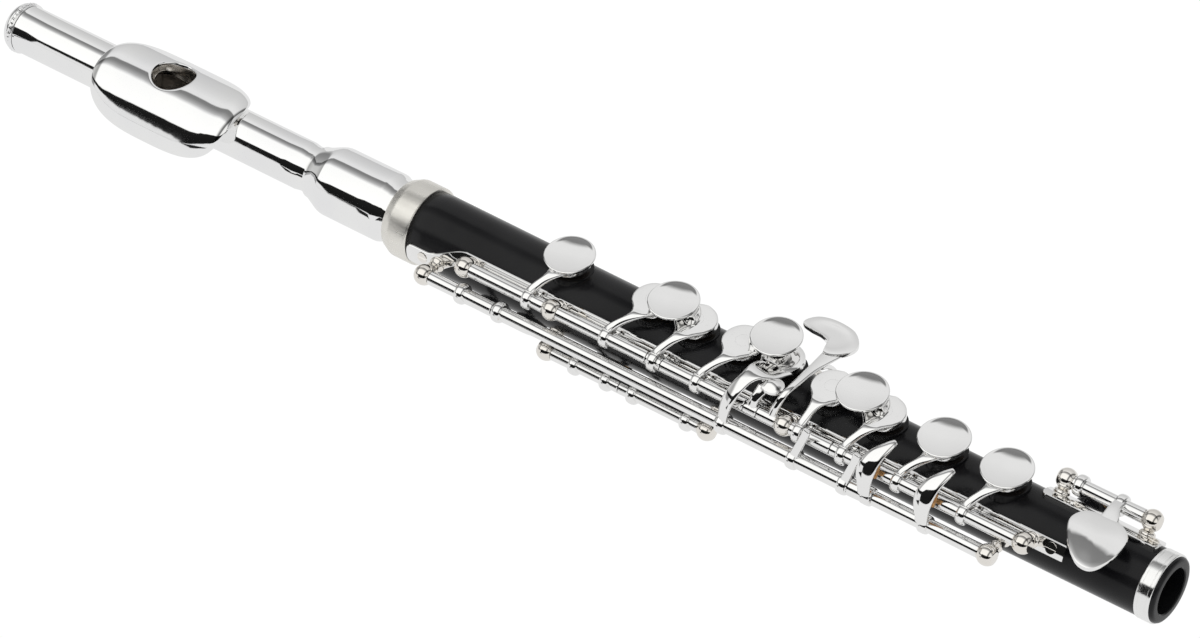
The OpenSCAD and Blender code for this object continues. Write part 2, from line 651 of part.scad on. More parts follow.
crown();
stopper_screw();
stopper_cork();
stopper_plates();
head_tube();
lip_plate();
mouth_chimney();
barrel();
body_tube();
body_ring();
tenon_cork();
foot_ring();
main_rib();
e_flat_plate();
main_posts();
outer_posts();
thumb_posts();
e_flat_posts();
g_sharp_posts();
main_steels();
short_steels();
rib_screws();
needle_springs();
c_key();
c_pad();
b_flat_key();
b_flat_pad();
a_key();
a_pad();
g_key();
g_pad();
low_g_key();
low_g_pad();
f_sharp_key();
f_sharp_pad();
f_key();
f_pad();
e_key();
e_pad();
d_key();
d_pad();
d_trill();
d_trill_pad();
d_trill_cork();
d_sharp_trill();
d_sharp_pad();
d_sharp_cork();
trill_steel();
b_thumb();
b_thumb_pad();
b_flat_thumb();
b_flat_lever();
g_sharp_lever();
g_sharp_key();
g_sharp_pad();
e_flat_key();
e_flat_pad();
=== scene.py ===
"""Looks for a piccolo: a metal head joint on a black moulded body with silver keys.

Stations (u) run from the crown's outer end to the foot in millimetres, as the part's own
source counts them; y and z are the frame's, in millimetres. Everything becomes metres in
the mesh builder.
"""

import math

import bmesh
import bpy
import numpy as np
from mathutils import Matrix, Vector


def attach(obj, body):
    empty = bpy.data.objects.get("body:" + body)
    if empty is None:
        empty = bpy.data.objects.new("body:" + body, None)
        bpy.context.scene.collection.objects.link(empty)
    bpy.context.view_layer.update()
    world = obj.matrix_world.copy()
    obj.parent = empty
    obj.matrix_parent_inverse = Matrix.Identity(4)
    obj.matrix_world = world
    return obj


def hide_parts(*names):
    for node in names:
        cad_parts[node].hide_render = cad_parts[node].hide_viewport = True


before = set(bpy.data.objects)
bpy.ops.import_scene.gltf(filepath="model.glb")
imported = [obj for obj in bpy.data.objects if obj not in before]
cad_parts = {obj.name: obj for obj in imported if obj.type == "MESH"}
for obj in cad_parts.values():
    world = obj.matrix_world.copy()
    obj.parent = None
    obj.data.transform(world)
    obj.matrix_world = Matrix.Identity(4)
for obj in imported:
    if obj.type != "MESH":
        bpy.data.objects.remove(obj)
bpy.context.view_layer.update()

TOTAL = 318.0
MAIN, OUTER, THUMB = (-11.0, 5.2), (-14.0, 0.4), (-10.5, -7.6)
E_FLAT, G_SHARP = (6.8, 9.4), (11.2, -1.5)
OPEN, LOW_OPEN, THUMB_OPEN = 6.3, 4.6, -6.3
SEAT, PAD_GAP, CUP_T = 8.5, 0.05, 1.9
SIDE_SEAT, TRILL_SEAT = 8.75, 8.95
CUP_R, TRILL_CUP_R, TOUCH_R = 4.75, 3.7, 5.75
TUBE_R, COLLAR_R, BORE_R = 1.6, 2.42, 0.84
STACK = SEAT + PAD_GAP + CUP_T
HEAD_R, MOUTH_R, MOUTH_U = 5.75, 4.6, 49.6
BOSS_R, HOLE_R, TRILL_BOSS_R, TRILL_HOLE_R = 5.0, 3.1, 3.9, 2.1
TOP_DEG, TRILL_DEG, THUMB_DEG, G_SHARP_DEG, E_FLAT_DEG = 90.0, 238.0, 268.0, -45.0, 15.0
D_TRILL_CUP, DS_TRILL_CUP, THUMB_CUP, G_SHARP_CUP, E_FLAT_CUP = 156.4, 146.4, 177.0, 228.5, 294.0
RIB_T = 0.9


def body_r(u):
    return 8.55 - 0.95 * (u - 124.2) / (TOTAL - 124.2)


# ---------------------------------------------------------------- materials
def new_mat(name, colour, rough, metallic=0.0):
    mat = bpy.data.materials.new(name)
    mat.use_nodes = True
    nodes, links = mat.node_tree.nodes, mat.node_tree.links
    shader = nodes["Principled BSDF"]
    shader.inputs["Metallic"].default_value = metallic
    shader.inputs["Roughness"].default_value = rough
    shader.inputs["Base Color"].default_value = (*colour, 1)
    coords = nodes.new("ShaderNodeTexCoord")
    return mat, nodes, links, shader, coords


def noise(nodes, links, coords, scale, detail=4.0, stretch=None):
    tex = nodes.new("ShaderNodeTexNoise")
    tex.inputs["Scale"].default_value = scale
    tex.inputs["Detail"].default_value = detail
    if stretch:
        mapping = nodes.new("ShaderNodeMapping")
        mapping.inputs["Scale"].default_value = stretch
        links.new(coords.outputs["Object"], mapping.inputs["Vector"])
        links.new(mapping.outputs["Vector"], tex.inputs["Vector"])
    else:
        links.new(coords.outputs["Object"], tex.inputs["Vector"])
    return tex


def ramp(nodes, links, source, stops):
    node = nodes.new("ShaderNodeValToRGB")
    elements = node.color_ramp.elements
    while len(elements) < len(stops):
        elements.new(0.5)
    for element, (position, colour) in zip(elements, stops):
        element.position = position
        element.color = (*colour, 1) if len(colour) == 3 else colour
    links.new(source, node.inputs["Fac"])
    return node


def remap(nodes, links, source, low, high, to_low=0, to_high=1):
    node = nodes.new("ShaderNodeMapRange")
    for key, value in (("From Min", low), ("From Max", high), ("To Min", to_low), ("To Max", to_high)):
        node.inputs[key].default_value = value
    links.new(source, node.inputs["Value"])
    return node.outputs["Result"]


def spread(nodes, links, source, low, high):
    """Stretches the middle of a noise, where nearly all its values lie, over low to high."""
    return remap(nodes, links, source, 0.3, 0.7, low, high)


def bump(nodes, links, source, shader, strength, distance):
    node = nodes.new("ShaderNodeBump")
    node.inputs["Strength"].default_value = strength
    node.inputs["Distance"].default_value = distance
    links.new(source, node.inputs["Height"])
    links.new(node.outputs["Normal"], shader.inputs["Normal"])


def metal(name, colour, dark, rough, turned=None, wave=0.02):
    """Plated metal: cloudy tone, uneven polish, hairlines and a faint hand-buffed wave."""
    mat, nodes, links, shader, coords = new_mat(name, colour, rough, 1.0)
    cloud = noise(nodes, links, coords, 90, 3)
    tone = ramp(nodes, links, cloud.outputs["Fac"], [(0.36, dark), (0.6, colour)])
    links.new(tone.outputs["Color"], shader.inputs["Base Color"])
    hair = noise(nodes, links, coords, 900, 5, (0.12, 1, 1))
    links.new(spread(nodes, links, hair.outputs["Fac"], rough * 0.75, rough * 1.35),
              shader.inputs["Roughness"])
    if turned:
        lines = nodes.new("ShaderNodeTexWave")
        lines.wave_type = "BANDS"
        lines.bands_direction = "X"
        lines.inputs["Scale"].default_value = turned
        lines.inputs["Distortion"].default_value = 0.6
        lines.inputs["Detail"].default_value = 2
        links.new(coords.outputs["Object"], lines.inputs["Vector"])
        bump(nodes, links, lines.outputs["Fac"], shader, 0.12, 0.00004)
    else:
        swell = noise(nodes, links, coords, 260, 1)
        bump(nodes, links, swell.outputs["Fac"], shader, wave, 0.0004)
    return mat


SILVER = metal("polished_silver", (0.955, 0.955, 0.95), (0.93, 0.93, 0.935), 0.045)
KEY = metal("key_silver", (0.95, 0.947, 0.94), (0.92, 0.917, 0.91), 0.05, wave=0.015)
NICKEL = metal("nickel_silver", (0.92, 0.895, 0.855), (0.87, 0.835, 0.78), 0.06, wave=0.02)
SATIN = metal("satin_nickel", (0.86, 0.84, 0.79), (0.80, 0.78, 0.73), 0.3, turned=1900)
STEEL = metal("steel", (0.62, 0.62, 0.64), (0.5, 0.5, 0.53), 0.2)


def black_resin():
    mat, nodes, links, shader, coords = new_mat("black_resin", (0.01, 0.01, 0.011), 0.2)
    cloud = noise(nodes, links, coords, 60, 4)
    tone = ramp(nodes, links, cloud.outputs["Fac"],
                [(0.35, (0.006, 0.006, 0.007)), (0.65, (0.012, 0.012, 0.013))])
    links.new(tone.outputs["Color"], shader.inputs["Base Color"])
    rub = noise(nodes, links, coords, 500, 6, (0.1, 1, 1))
    links.new(spread(nodes, links, rub.outputs["Fac"], 0.16, 0.27), shader.inputs["Roughness"])
    shader.inputs["Specular IOR Level"].default_value = 0.2
    grain = noise(nodes, links, coords, 1500, 3)
    bump(nodes, links, grain.outputs["Fac"], shader, 0.05, 0.0001)
    return mat


def cork_stuff():
    mat, nodes, links, shader, coords = new_mat("cork", (0.6, 0.33, 0.13), 0.8)
    cells = nodes.new("ShaderNodeTexVoronoi")
    cells.inputs["Scale"].default_value = 1400
    links.new(coords.outputs["Object"], cells.inputs["Vector"])
    flecks = ramp(nodes, links, cells.outputs["Distance"],
                  [(0.0, (0.30, 0.13, 0.04)), (0.25, (0.52, 0.26, 0.09)), (0.7, (0.66, 0.37, 0.15))])
    links.new(flecks.outputs["Color"], shader.inputs["Base Color"])
    bump(nodes, links, cells.outputs["Distance"], shader, 0.4, 0.0001)
    return mat


def pad_skin():
    mat, nodes, links, shader, coords = new_mat("pad_skin", (0.7, 0.48, 0.22), 0.5)
    cloud = noise(nodes, links, coords, 500, 5)
    tone = ramp(nodes, links, cloud.outputs["Fac"],
                [(0.3, (0.50, 0.27, 0.09)), (0.7, (0.74, 0.50, 0.24))])
    links.new(tone.outputs["Color"], shader.inputs["Base Color"])
    links.new(spread(nodes, links, cloud.outputs["Fac"], 0.4, 0.6), shader.inputs["Roughness"])
    shader.inputs["Sheen Weight"].default_value = 0.2
    weave = noise(nodes, links, coords, 2500, 4)
    bump(nodes, links, weave.outputs["Fac"], shader, 0.3, 0.0001)
    return mat


# painted shade: the bore's silver is darker and browner than the outside, standing in for the shade inside the
# tube
BORE_SHADE = metal("bore_silver_painted_shade", (0.58, 0.54, 0.5), (0.48, 0.45, 0.41), 0.42, wave=0.0)
# painted shade: the chimney's silver is darker and browner than the plate's, standing in for the shade inside
# the mouth hole
CHIMNEY_SHADE = metal("chimney_silver_painted_shade", (0.76, 0.73, 0.69), (0.68, 0.65, 0.61), 0.24, wave=0.0)
BLACK, CORK, PAD = black_resin(), cork_stuff(), pad_skin()


# ---------------------------------------------------------------- mesh parts
# A part is (vertices as an array of [u, y, z], faces as lists of vertex numbers).
def join(*parts):
    verts, faces, base = [], [], 0
    for v, f in parts:
        verts.append(np.asarray(v, float))
        faces += [[i + base for i in face] for face in f]
        base += len(v)
    return np.vstack(verts), faces


def rings_part(rings, loop=False, caps=True):
    """Skins a stack of equal rings of points; loop joins the last ring to the first."""
    n = len(rings[0])
    verts = np.vstack(rings)
    faces = []
    pairs = len(rings) if loop else len(rings) - 1
    for k in range(pairs):
        a, b = k * n, ((k + 1) % len(rings)) * n
        for i in range(n):
            j = (i + 1) % n
            faces.append([a + i, a + j, b + j, b + i])
    if caps and not loop:
        for k in (0, len(rings) - 1):
            centre = len(verts)
            verts = np.vstack([verts, verts[k * n:(k + 1) * n].mean(0)])
            faces += [[k * n + i, k * n + (i + 1) % n, centre] for i in range(n)]
    return verts, faces


def lathe(profile, n=64, loop=False, wobble=None):
    """Turns [h, r] points about the local Z axis; wobble changes r by (h, angle)."""
    angles = np.arange(n) * 2 * math.pi / n
    rings = []
    for h, r in profile:
        rr = np.full(n, max(r, 1e-3))
        if wobble:
            rr = rr + np.array([wobble(h, a) for a in angles])
        rings.append(np.stack([rr * np.cos(angles), rr * np.sin(angles), np.full(n, h)], 1))
    return rings_part(rings, loop=loop)


def along(part, axis=(0.0, 0.0)):
    """A local-Z part laid along the instrument, so that its heights are stations."""
    v, f = part
    return np.stack([v[:, 2], v[:, 0] + axis[0], v[:, 1] + axis[1]], 1), f


def out(part, u, deg):
    """A local-Z part pointed out of the body at an angle from +Y toward +Z."""
    v, f = part
    s, c = math.sin(math.radians(deg)), math.cos(math.radians(deg))
    return np.stack([v[:, 0] + u, v[:, 1] * s + v[:, 2] * c, -v[:, 1] * c + v[:, 2] * s], 1), f


def moved(part, u=0.0, y=0.0, z=0.0):
    return part[0] + np.array([u, y, z]), part[1]


def swing(part, axis, deg):
    v, f = part
    s, c = math.sin(math.radians(deg)), math.cos(math.radians(deg))
    y, z = v[:, 1] - axis[0], v[:, 2] - axis[1]
    return np.stack([v[:, 0], axis[0] + y * c - z * s, axis[1] + y * s + z * c], 1), f


def catmull_rom(a, b, c, d, x):
    """The curve between b and c, x of the way along."""
    return 0.5 * ((2 * b) + (c - a) * x + (2 * a - 5 * b + 4 * c - d) * x * x
                  + (3 * b - a - 3 * c + d) * x ** 3)


def smooth_path(points, n):
    """n points on a Catmull-Rom curve through the given ones (any number of columns)."""
    p = np.asarray(points, float)
    p = np.vstack([2 * p[0] - p[1], p, 2 * p[-1] - p[-2]])
    result = []
    for t in np.linspace(0, len(points) - 1 - 1e-9, n):
        k = int(t)
        result.append(catmull_rom(*p[k:k + 4], t - k))
    return np.array(result)


def smooth_loop(points, n):
    """n points on a closed Catmull-Rom curve, evenly spaced by number."""
    p = np.asarray(points, float)
    m = len(p)
    result = []
    for t in np.arange(n) * m / n:
        k = int(t)
        result.append(catmull_rom(*[p[(k + step) % m] for step in (-1, 0, 1, 2)], t - k))
    return np.array(result)


def section(w, t, power, n=24):
    """A rounded-rectangle cross-section: power 2 is an ellipse, more is squarer."""
    a = (np.arange(n) + 0.5) * 2 * math.pi / n
    c, s = np.cos(a), np.sin(a)
    return np.stack([w / 2 * np.sign(c) * np.abs(c) ** (2 / power),
                     t / 2 * np.sign(s) * np.abs(s) ** (2 / power)], 1)


def sweep(rows, n=24, power=4.0, side=(1.0, 0.0, 0.0), steps=28):
    """A bar along rows of [u, y, z, width, thickness], with its width along side."""
    rows = smooth_path(rows, steps)
    points = rows[:, :3]
    tangents = np.gradient(points, axis=0)
    tangents /= np.linalg.norm(tangents, axis=1)[:, None]
    rings = []
    for p, t, (w, h) in zip(points, tangents, rows[:, 3:5]):
        b = np.array(side) - np.dot(side, t) * t
        b /= np.linalg.norm(b)
        nrm = np.cross(t, b)
        sec = section(max(w, 0.05), max(h, 0.05), power, n)
        rings.append(p + sec[:, :1] * b + sec[:, 1:] * nrm)
    ends = [ring.mean(0) + (ring - ring.mean(0)) * 0.8 for ring in (rings[0], rings[-1])]
    rings = [ends[0] - tangents[0] * 0.12] + rings + [ends[1] + tangents[-1] * 0.12]
    return rings_part(rings)


def plate(outline, thick, top=None, n=72, edge=0.25, dish=0.0, rim=0.5, crown=0.0):
    """A plate from an outline of [a, b]: rounded edges, and a dish inside its rim or a crown.

    Local coordinates are [a, b, h] with the bottom at h = 0.
    """
    line = smooth_loop(outline, n)
    centre = line.mean(0)
    reach = np.linalg.norm(line - centre, axis=1).mean()

    def ring(inset, h):
        return np.column_stack([centre + (line - centre) * (1 - inset / reach), np.full(n, h)])

    rings = [ring(reach * 0.98, 0), ring(reach * 0.5, 0), ring(edge, 0), ring(edge * 0.3, edge * 0.3),
             ring(0, edge), ring(0, thick - edge), ring(edge * 0.3, thick - edge * 0.3),
             ring(edge, thick)]
    start = edge + (rim if dish else 0)
    if dish:
        rings.append(ring(start, thick))
    for k in (0.12, 0.3, 0.5, 0.7, 0.86, 0.98):
        inset = start + (reach - start) * k
        if dish:
            h = thick - dish * math.sin(min(k * 2.4, 1) * math.pi / 2)
        else:
            h = thick + crown * math.sin(k * math.pi / 2)
        rings.append(ring(inset, h))
    return rings_part(rings)


def mesh_from(name, part):
    """A mesh in metres from a part in stations and millimetres."""
    verts, faces = part
    mesh = bpy.data.meshes.new(name)
    mesh.from_pydata([((x - TOTAL) / 1000, y / 1000, z / 1000) for x, y, z in verts], [], faces)
    return mesh


def piece(name, part, mat, body, *nodes, sharp=38, bevel=0.0, booleans=()):
    """Makes the object, rides it on its body and lets it stand for its CAD nodes."""
    mesh = mesh_from(name, part)
    bm = bmesh.new()
    bm.from_mesh(mesh)
    bmesh.ops.remove_doubles(bm, verts=bm.verts, dist=1e-7)
    bmesh.ops.dissolve_degenerate(bm, edges=bm.edges, dist=1e-7)
    bmesh.ops.recalc_face_normals(bm, faces=bm.faces)
    bm.to_mesh(mesh)
    bm.free()
    obj = bpy.data.objects.new(name, mesh)
    bpy.context.scene.collection.objects.link(obj)
    mesh.materials.append(mat)
    for operation, tool in booleans:
        mod = obj.modifiers.new(operation.lower(), "BOOLEAN")
        mod.operation, mod.object, mod.solver = operation, tool, "EXACT"
    if booleans:
        bpy.context.view_layer.update()
        evaluated = obj.evaluated_get(bpy.context.evaluated_depsgraph_get())
        mesh = bpy.data.meshes.new_from_object(evaluated)
        obj.modifiers.clear()
        obj.data = mesh
        for _, tool in booleans:
            bpy.data.objects.remove(tool)
    mesh.shade_smooth()
    mesh.set_sharp_from_angle(angle=math.radians(sharp))
    if bevel:
        mod = obj.modifiers.new("edges", "BEVEL")
        mod.width, mod.segments, mod.limit_method = bevel / 1000, 2, "ANGLE"
        mod.angle_limit, mod.harden_normals = math.radians(sharp), True
    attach(obj, body)
    if nodes:
        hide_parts(*nodes)
    return obj


def cutter(part):
    """An object that a boolean takes away and then removes."""
    mesh = mesh_from("cutter", part)
    bm = bmesh.new()
    bm.from_mesh(mesh)
    bmesh.ops.recalc_face_normals(bm, faces=bm.faces)
    bm.to_mesh(mesh)
    bm.free()
    obj = bpy.data.objects.new("cutter", mesh)
    bpy.context.scene.collection.objects.link(obj)
    return obj


# ---------------------------------------------------------------- turned parts
def ball_profile(reach, base, ball=2.4):
    """Foot, beaded neck and ball of a post, up the local Z axis."""
    neck = reach - ball
    rows = [(base, 0.0), (base, 1.8), (base + 0.35, 1.85), (base + 0.7, 1.72), (base + 0.95, 1.42)]
    span = neck - (base + 0.95)
    rows += [(base + 0.95 + span * 0.18, 1.22), (base + 0.95 + span * 0.4, 1.16),
             (base + 0.95 + span * 0.55, 1.3), (base + 0.95 + span * 0.64, 1.5),
             (base + 0.95 + span * 0.74, 1.5), (base + 0.95 + span * 0.83, 1.28),
             (neck + 0.22, 1.14)]
    for k in range(4, 18):
        a = math.pi * k / 18
        rows.append((reach - ball * math.cos(a), ball * math.sin(a)))
    rows.append((reach + ball, 0.0))
    return [row for i, row in enumerate(rows) if i < 2 or row[0] >= rows[i - 1][0] - 1e-6]


def post(u, axis, lift, n=48):
    reach = math.hypot(*axis)
    base = body_r(u) + lift - 0.25
    v, f = lathe(ball_profile(reach, base), n)
    high = v[:, 2] > reach - 2.0
    v[high, 0] = np.clip(v[high, 0], -1.8, 1.8)
    return out((v, f), u, math.degrees(math.atan2(axis[1], axis[0])))


def tube(axis, u0, u1, r=TUBE_R, collars=(), cr=COLLAR_R, bore=BORE_R, n=48):
    """A hollow hinge tube with eased ends and rounded collars that have a groove each side."""
    edge, half = 0.14, 1.1
    rows = [(u0, bore), (u0, r - edge), (u0 + edge, r)]
    for c in sorted(collars):
        lo, hi = max(c - half, u0 + edge), min(c + half, u1 - edge)
        for k in range(0, 9):
            a = math.pi * k / 8
            bulge = math.sin(a) ** 0.45 if 0 < k < 8 else 0.0
            rows.append((lo + (hi - lo) * (1 - math.cos(a)) / 2, r - 0.06 + (cr - r + 0.06) * bulge))
    rows += [(u1 - edge, r), (u1, r - edge), (u1, bore)]
    return along(lathe(rows, n, loop=True), axis)


def disc_touch(u, y, z, r=TOUCH_R, t=1.05, dish=0.34, belly=0.0):
    """A round finger touch: thin rim, shallow dish, undercut below, where a raised one has a belly."""
    rows = [(-belly, 0.0), (-belly, r - 3.4), (-0.9 * belly, r - 2.9), (-0.3 * belly, r - 1.7),
            (0.0, r - 1.1), (0.12, r - 0.45), (0.38, r - 0.08), (0.62, r),
            (t - 0.12, r - 0.02), (t, r - 0.16), (t, r - 0.34)]
    for k in (0.93, 0.84, 0.7, 0.55, 0.4, 0.25, 0.1, 0.0):
        rows.append((t - dish * (1 - k * k) - 0.03, (r - 0.36) * k))
    return moved(lathe(rows, 96), u, y, z)


def cup_wall(r=CUP_R, top=CUP_T):
    """A cup's turned shell, opening down, up the local Z axis from its seat."""
    return lathe([(0.42, r - 0.5), (0.42, r - 0.12), (0.52, r), (top - 0.5, r), (top - 0.18, r - 0.12),
                  (top, r - 0.55), (top + 0.06, r - 1.6), (top + 0.08, 0.0), (top - 0.6, 0.0),
                  (top - 0.6, r - 0.5)], 72, loop=True)


def pad_part(r):
    """A pad: a disc of felt in its skin, with a crowned rim and the ring that its seat prints."""
    rr = r - 0.6
    return lathe([(0.02, 0.0), (0.02, 2.6), (0.06, 2.95), (0.0, 3.25), (0.03, rr - 0.5), (0.14, rr - 0.18),
                  (0.4, rr), (0.8, rr), (0.96, rr - 0.1), (0.96, 0.0)], 64)


def at_seat(part, u, deg, seat):
    """A local-Z part on the seat at an angle round the body, a pad's clearance above it."""
    return out(moved(part, 0, 0, seat + PAD_GAP), u, deg)


def make_pad(name, place, body):
    obj = piece(name + "_skin", place, PAD, body, name)


# ---------------------------------------------------------------- head joint
BEAD_COUNT, BEAD_START, BEAD_END = 40, 3.05, 3.75


def crown_wobble(h, a):
    """The row of beads round the crown."""
    return 0.1 * max(0.0, math.cos(BEAD_COUNT * a)) if BEAD_START <= h <= BEAD_END else 0.0


crown_rows = [(0.0, 0.0), (0.02, 1.0), (0.12, 2.0), (0.42, 3.3), (0.85, 4.3), (1.4, 5.1), (2.0, 5.62),
              (2.6, 5.9), (2.85, 5.95), (2.95, 5.9), (BEAD_START, 6.05), (3.15, 6.1), (3.4, 6.12),
              (3.65, 6.1), (BEAD_END, 6.05), (3.85, 5.9), (3.92, 6.0), (4.05, 6.12), (4.25, 6.14),
              (4.38, 6.04), (4.4, 5.9), (4.4, 5.1), (8.5, 5.1), (8.5, 1.65), (1.7, 1.65), (1.7, 0.0)]
piece("crown_cap", along(lathe(crown_rows, 352, wobble=crown_wobble)), SILVER, "crown", "crown", sharp=50)

head_rows = [(4.5, 5.2), (4.5, 5.84), (4.58, 5.88), (4.75, 5.86), (4.9, 5.79), (5.05, HEAD_R), (12, HEAD_R)]
head_rows += [(12 + 76.2 * k / 24, HEAD_R) for k in range(1, 25)]
head_rows += [(88.5, 5.68), (89.8, 5.48), (90, 5.45), (98, 5.45), (98, 5.2)]
hole = cutter(moved(lathe([(0, 0), (0, MOUTH_R), (12, MOUTH_R), (12, 0)], 96), MOUTH_U))
head_obj = piece("head_tube_skin", along(lathe(head_rows, 128, loop=True)), SILVER, "head", "head_tube",
                 sharp=30, booleans=[("DIFFERENCE", hole)])
# the faces that line the bore take the darker silver, painted shade for the inside of the tube
head_obj.data.materials.append(BORE_SHADE)
BORE_REACH = 0.00535  # metres from the axis: faces nearer than this line the bore
for face in head_obj.data.polygons:
    if math.hypot(face.center.y, face.center.z) < BORE_REACH:
        face.material_index = 1

barrel_rows = [(92, 5.45), (92, 6.05), (92.15, 6.2), (92.6, 6.28), (93.2, 6.42), (94.4, 6.95), (96, 7.68),
               (96.9, 8.02), (97.5, 8.15), (98.2, 8.2), (101, 8.2), (105, 8.2), (109, 8.2), (112.6, 8.2),
               (113, 8.15), (113.5, 7.95), (114.2, 7.62), (114.6, 7.5), (115.2, 7.48), (116.3, 7.48),
               (116.5, 7.35), (116.5, 7.18), (98.3, 7.18), (98, 6.0), (98, 5.45)]
piece("barrel_skin", along(lathe(barrel_rows, 128, loop=True)), SILVER, "head", "barrel", sharp=30)

LIP_C, LIP_R, LIP_T, LIP_MID = (-0.5, -5.7), 13.9, 0.7, 105.0
NOSE_R, NOSE_DEG, CHIN_R = 10.5, 148.0, 23.0
lip_start = MOUTH_U - 18.6
lip_end = MOUTH_U + 20.8


def lip_point(u, arc, drop):
    """A point on the plate: arc is millimetres toward the front from its middle line."""
    t0 = math.radians(LIP_MID)
    if arc <= 0:
        t = t0 + arc / LIP_R
        y, z = LIP_C[0] + LIP_R * math.cos(t), LIP_C[1] + LIP_R * math.sin(t)
    else:
        y, z = LIP_C[0] + LIP_R * math.cos(t0), LIP_C[1] + LIP_R * math.sin(t0)
        nose = min(arc, NOSE_R * (math.radians(NOSE_DEG) - t0))
        t1 = t0 + nose / NOSE_R
        y, z = y + NOSE_R * (math.cos(t1) - math.cos(t0)), z + NOSE_R * (math.sin(t1) - math.sin(t0))
        t = t1 + (arc - nose) / CHIN_R
        y, z = y + CHIN_R * (math.cos(t) - math.cos(t1)), z + CHIN_R * (math.sin(t) - math.sin(t1))
    return [u, y - drop * math.cos(t), z - drop * math.sin(t)]


def lip_hole(angle, r):
    """Where an upright hole of radius r meets the plate, as (u, arc)."""
    y = r * math.sin(angle)
    low, high = -14.0, 14.0
    for _ in range(40):
        mid = (low + high) / 2
        if lip_point(0, mid, 0)[1] > y:
            low = mid
        else:
            high = mid
    return MOUTH_U + r * math.cos(angle), low


def lip_edge(angle):
    """The plate's outline, a squared oval, as (u, arc)."""
    c, s = math.cos(angle), math.sin(angle)
    half = (lip_end - lip_start) / 2
    u = (lip_start + lip_end) / 2 + half * math.copysign(abs(c) ** 0.62, c)
    return u, -15.1 * math.copysign(abs(s) ** 0.72, s)


def lip_plate():
    n = 200
    angles = np.arange(n) * 2 * math.pi / n
    inner = [lip_hole(t, 5.2) for t in angles]
    outer = [lip_edge(t) for t in angles]

    def ring(share, drop):
        """A ring at a share of the way from hole to edge; the last quarter curls down."""
        rise = max(0.0, (share - 0.74) / 0.26) ** 2.2
        curl = 0.8 + 0.6 * np.maximum(np.cos(angles), 0)
        return np.array([lip_point(i[0] + (o[0] - i[0]) * share, i[1] + (o[1] - i[1]) * share,
                                   drop + c * rise)
                         for i, o, c in zip(inner, outer, curl)])

    rings = [ring(0.0, 0.16), ring(0.012, 0.03)]
    rings += [ring(k, 0) for k in (0.04, 0.12, 0.22, 0.33, 0.45, 0.57, 0.66, 0.74, 0.8, 0.84, 0.88,
                                   0.91, 0.94, 0.965)]
    rings += [ring(0.985, 0.05), ring(0.997, 0.2), ring(1.0, 0.36), ring(0.995, 0.55), ring(0.975, LIP_T)]
    rings += [ring(k, LIP_T) for k in (0.93, 0.86, 0.8, 0.6, 0.4, 0.2, 0.06)]
    rings.append(ring(0.0, LIP_T))
    return rings_part(rings, loop=True)


piece("lip_plate_skin", lip_plate(), SILVER, "head", "lip_plate", sharp=50)


def chimney():
    """The riser between tube and lip plate, its wall flaring upward to the hole."""
    n = 128
    angles = np.arange(n) * 2 * math.pi / n

    def ring(r, height):
        return np.array([[MOUTH_U + r * math.cos(t), r * math.sin(t), height(r * math.sin(t))]
                         for t in angles])

    def shell(drop):
        return lambda y: LIP_C[1] + math.sqrt((LIP_R - drop) ** 2 - (y - LIP_C[0]) ** 2)

    def on_tube(extra):
        return lambda y: math.sqrt(max(HEAD_R ** 2 - y * y, 0)) + extra

    rings = [ring(MOUTH_R, on_tube(0.02)), ring(4.62, on_tube(0.5)), ring(4.8, shell(2.0)),
             ring(5.02, shell(1.2)), ring(5.16, shell(0.75)), ring(5.5, shell(0.72)),
             ring(5.6, shell(1.0)), ring(5.58, shell(2.2)), ring(5.55, on_tube(0.3)),
             ring(5.55, on_tube(0.0))]
    return rings_part(rings, loop=True)


piece("mouth_chimney_skin", chimney(), CHIMNEY_SHADE, "head", "mouth_chimney", sharp=50)

# ---------------------------------------------------------------- body
# one row for each tone hole: u, angle, y, boss radius, seat height, hole radius
LOW_CUP, LOW_Y = 219.6, 1.5
bosses = [(u, TOP_DEG, 0.0, BOSS_R, SEAT, HOLE_R)
          for u in (163.7, 186.3, 197.6, 209.8, 233.3, 246.5, 261.7, 277.4)]
bosses += [(LOW_CUP, TOP_DEG, LOW_Y, BOSS_R, SEAT, HOLE_R)]
bosses += [(u, deg, 0.0, BOSS_R, SIDE_SEAT, HOLE_R)
           for u, deg in ((G_SHARP_CUP, G_SHARP_DEG), (E_FLAT_CUP, E_FLAT_DEG), (THUMB_CUP, THUMB_DEG))]
bosses += [(u, TRILL_DEG, 0.0, TRILL_BOSS_R, TRILL_SEAT, TRILL_HOLE_R) for u in (DS_TRILL_CUP, D_TRILL_CUP)]


def body_part():
    rows = [(101, 5.6), (101, 6.3), (101.4, 6.6), (101.9, 6.7), (103, 6.7), (115, 6.7), (116.7, 6.7),
            (116.7, 8), (124.2, 8), (124.2, body_r(124.2) - 0.12), (124.4, body_r(124.4))]
    rows += [(u, body_r(u)) for u in np.linspace(128, 312, 40)]
    rows += [(313.5, body_r(313.5)), (313.6, body_r(313.6) - 0.1), (313.6, 7.1), (317.1, 7.1),
             (317.1, 7.5), (317.35, 7.48), (317.75, 7.25), (317.95, 6.9), (318, 6.6), (318, 5.5),
             (317.8, 5.25), (317.4, 5.2), (298, 5.2)]
    return along(lathe(rows, 160, loop=True))


def boss_tool(u, deg, y, r, seat, hole_r):
    """A seat: a turned boss with a small fillet at its foot, a crowned rim and its hole."""
    rows = [(seat - 3.2, hole_r), (seat - 3.2, r), (seat - 0.45, r), (seat - 0.12, r - 0.06),
            (seat, r - 0.3), (seat - 0.1, r - 0.8), (seat - 0.12, hole_r + 0.55), (seat, hole_r + 0.25),
            (seat - 0.1, hole_r)]
    if deg == TOP_DEG:
        return moved(lathe(rows, 72, loop=True), u, y, 0)
    return out(lathe(rows, 72, loop=True), u, deg)


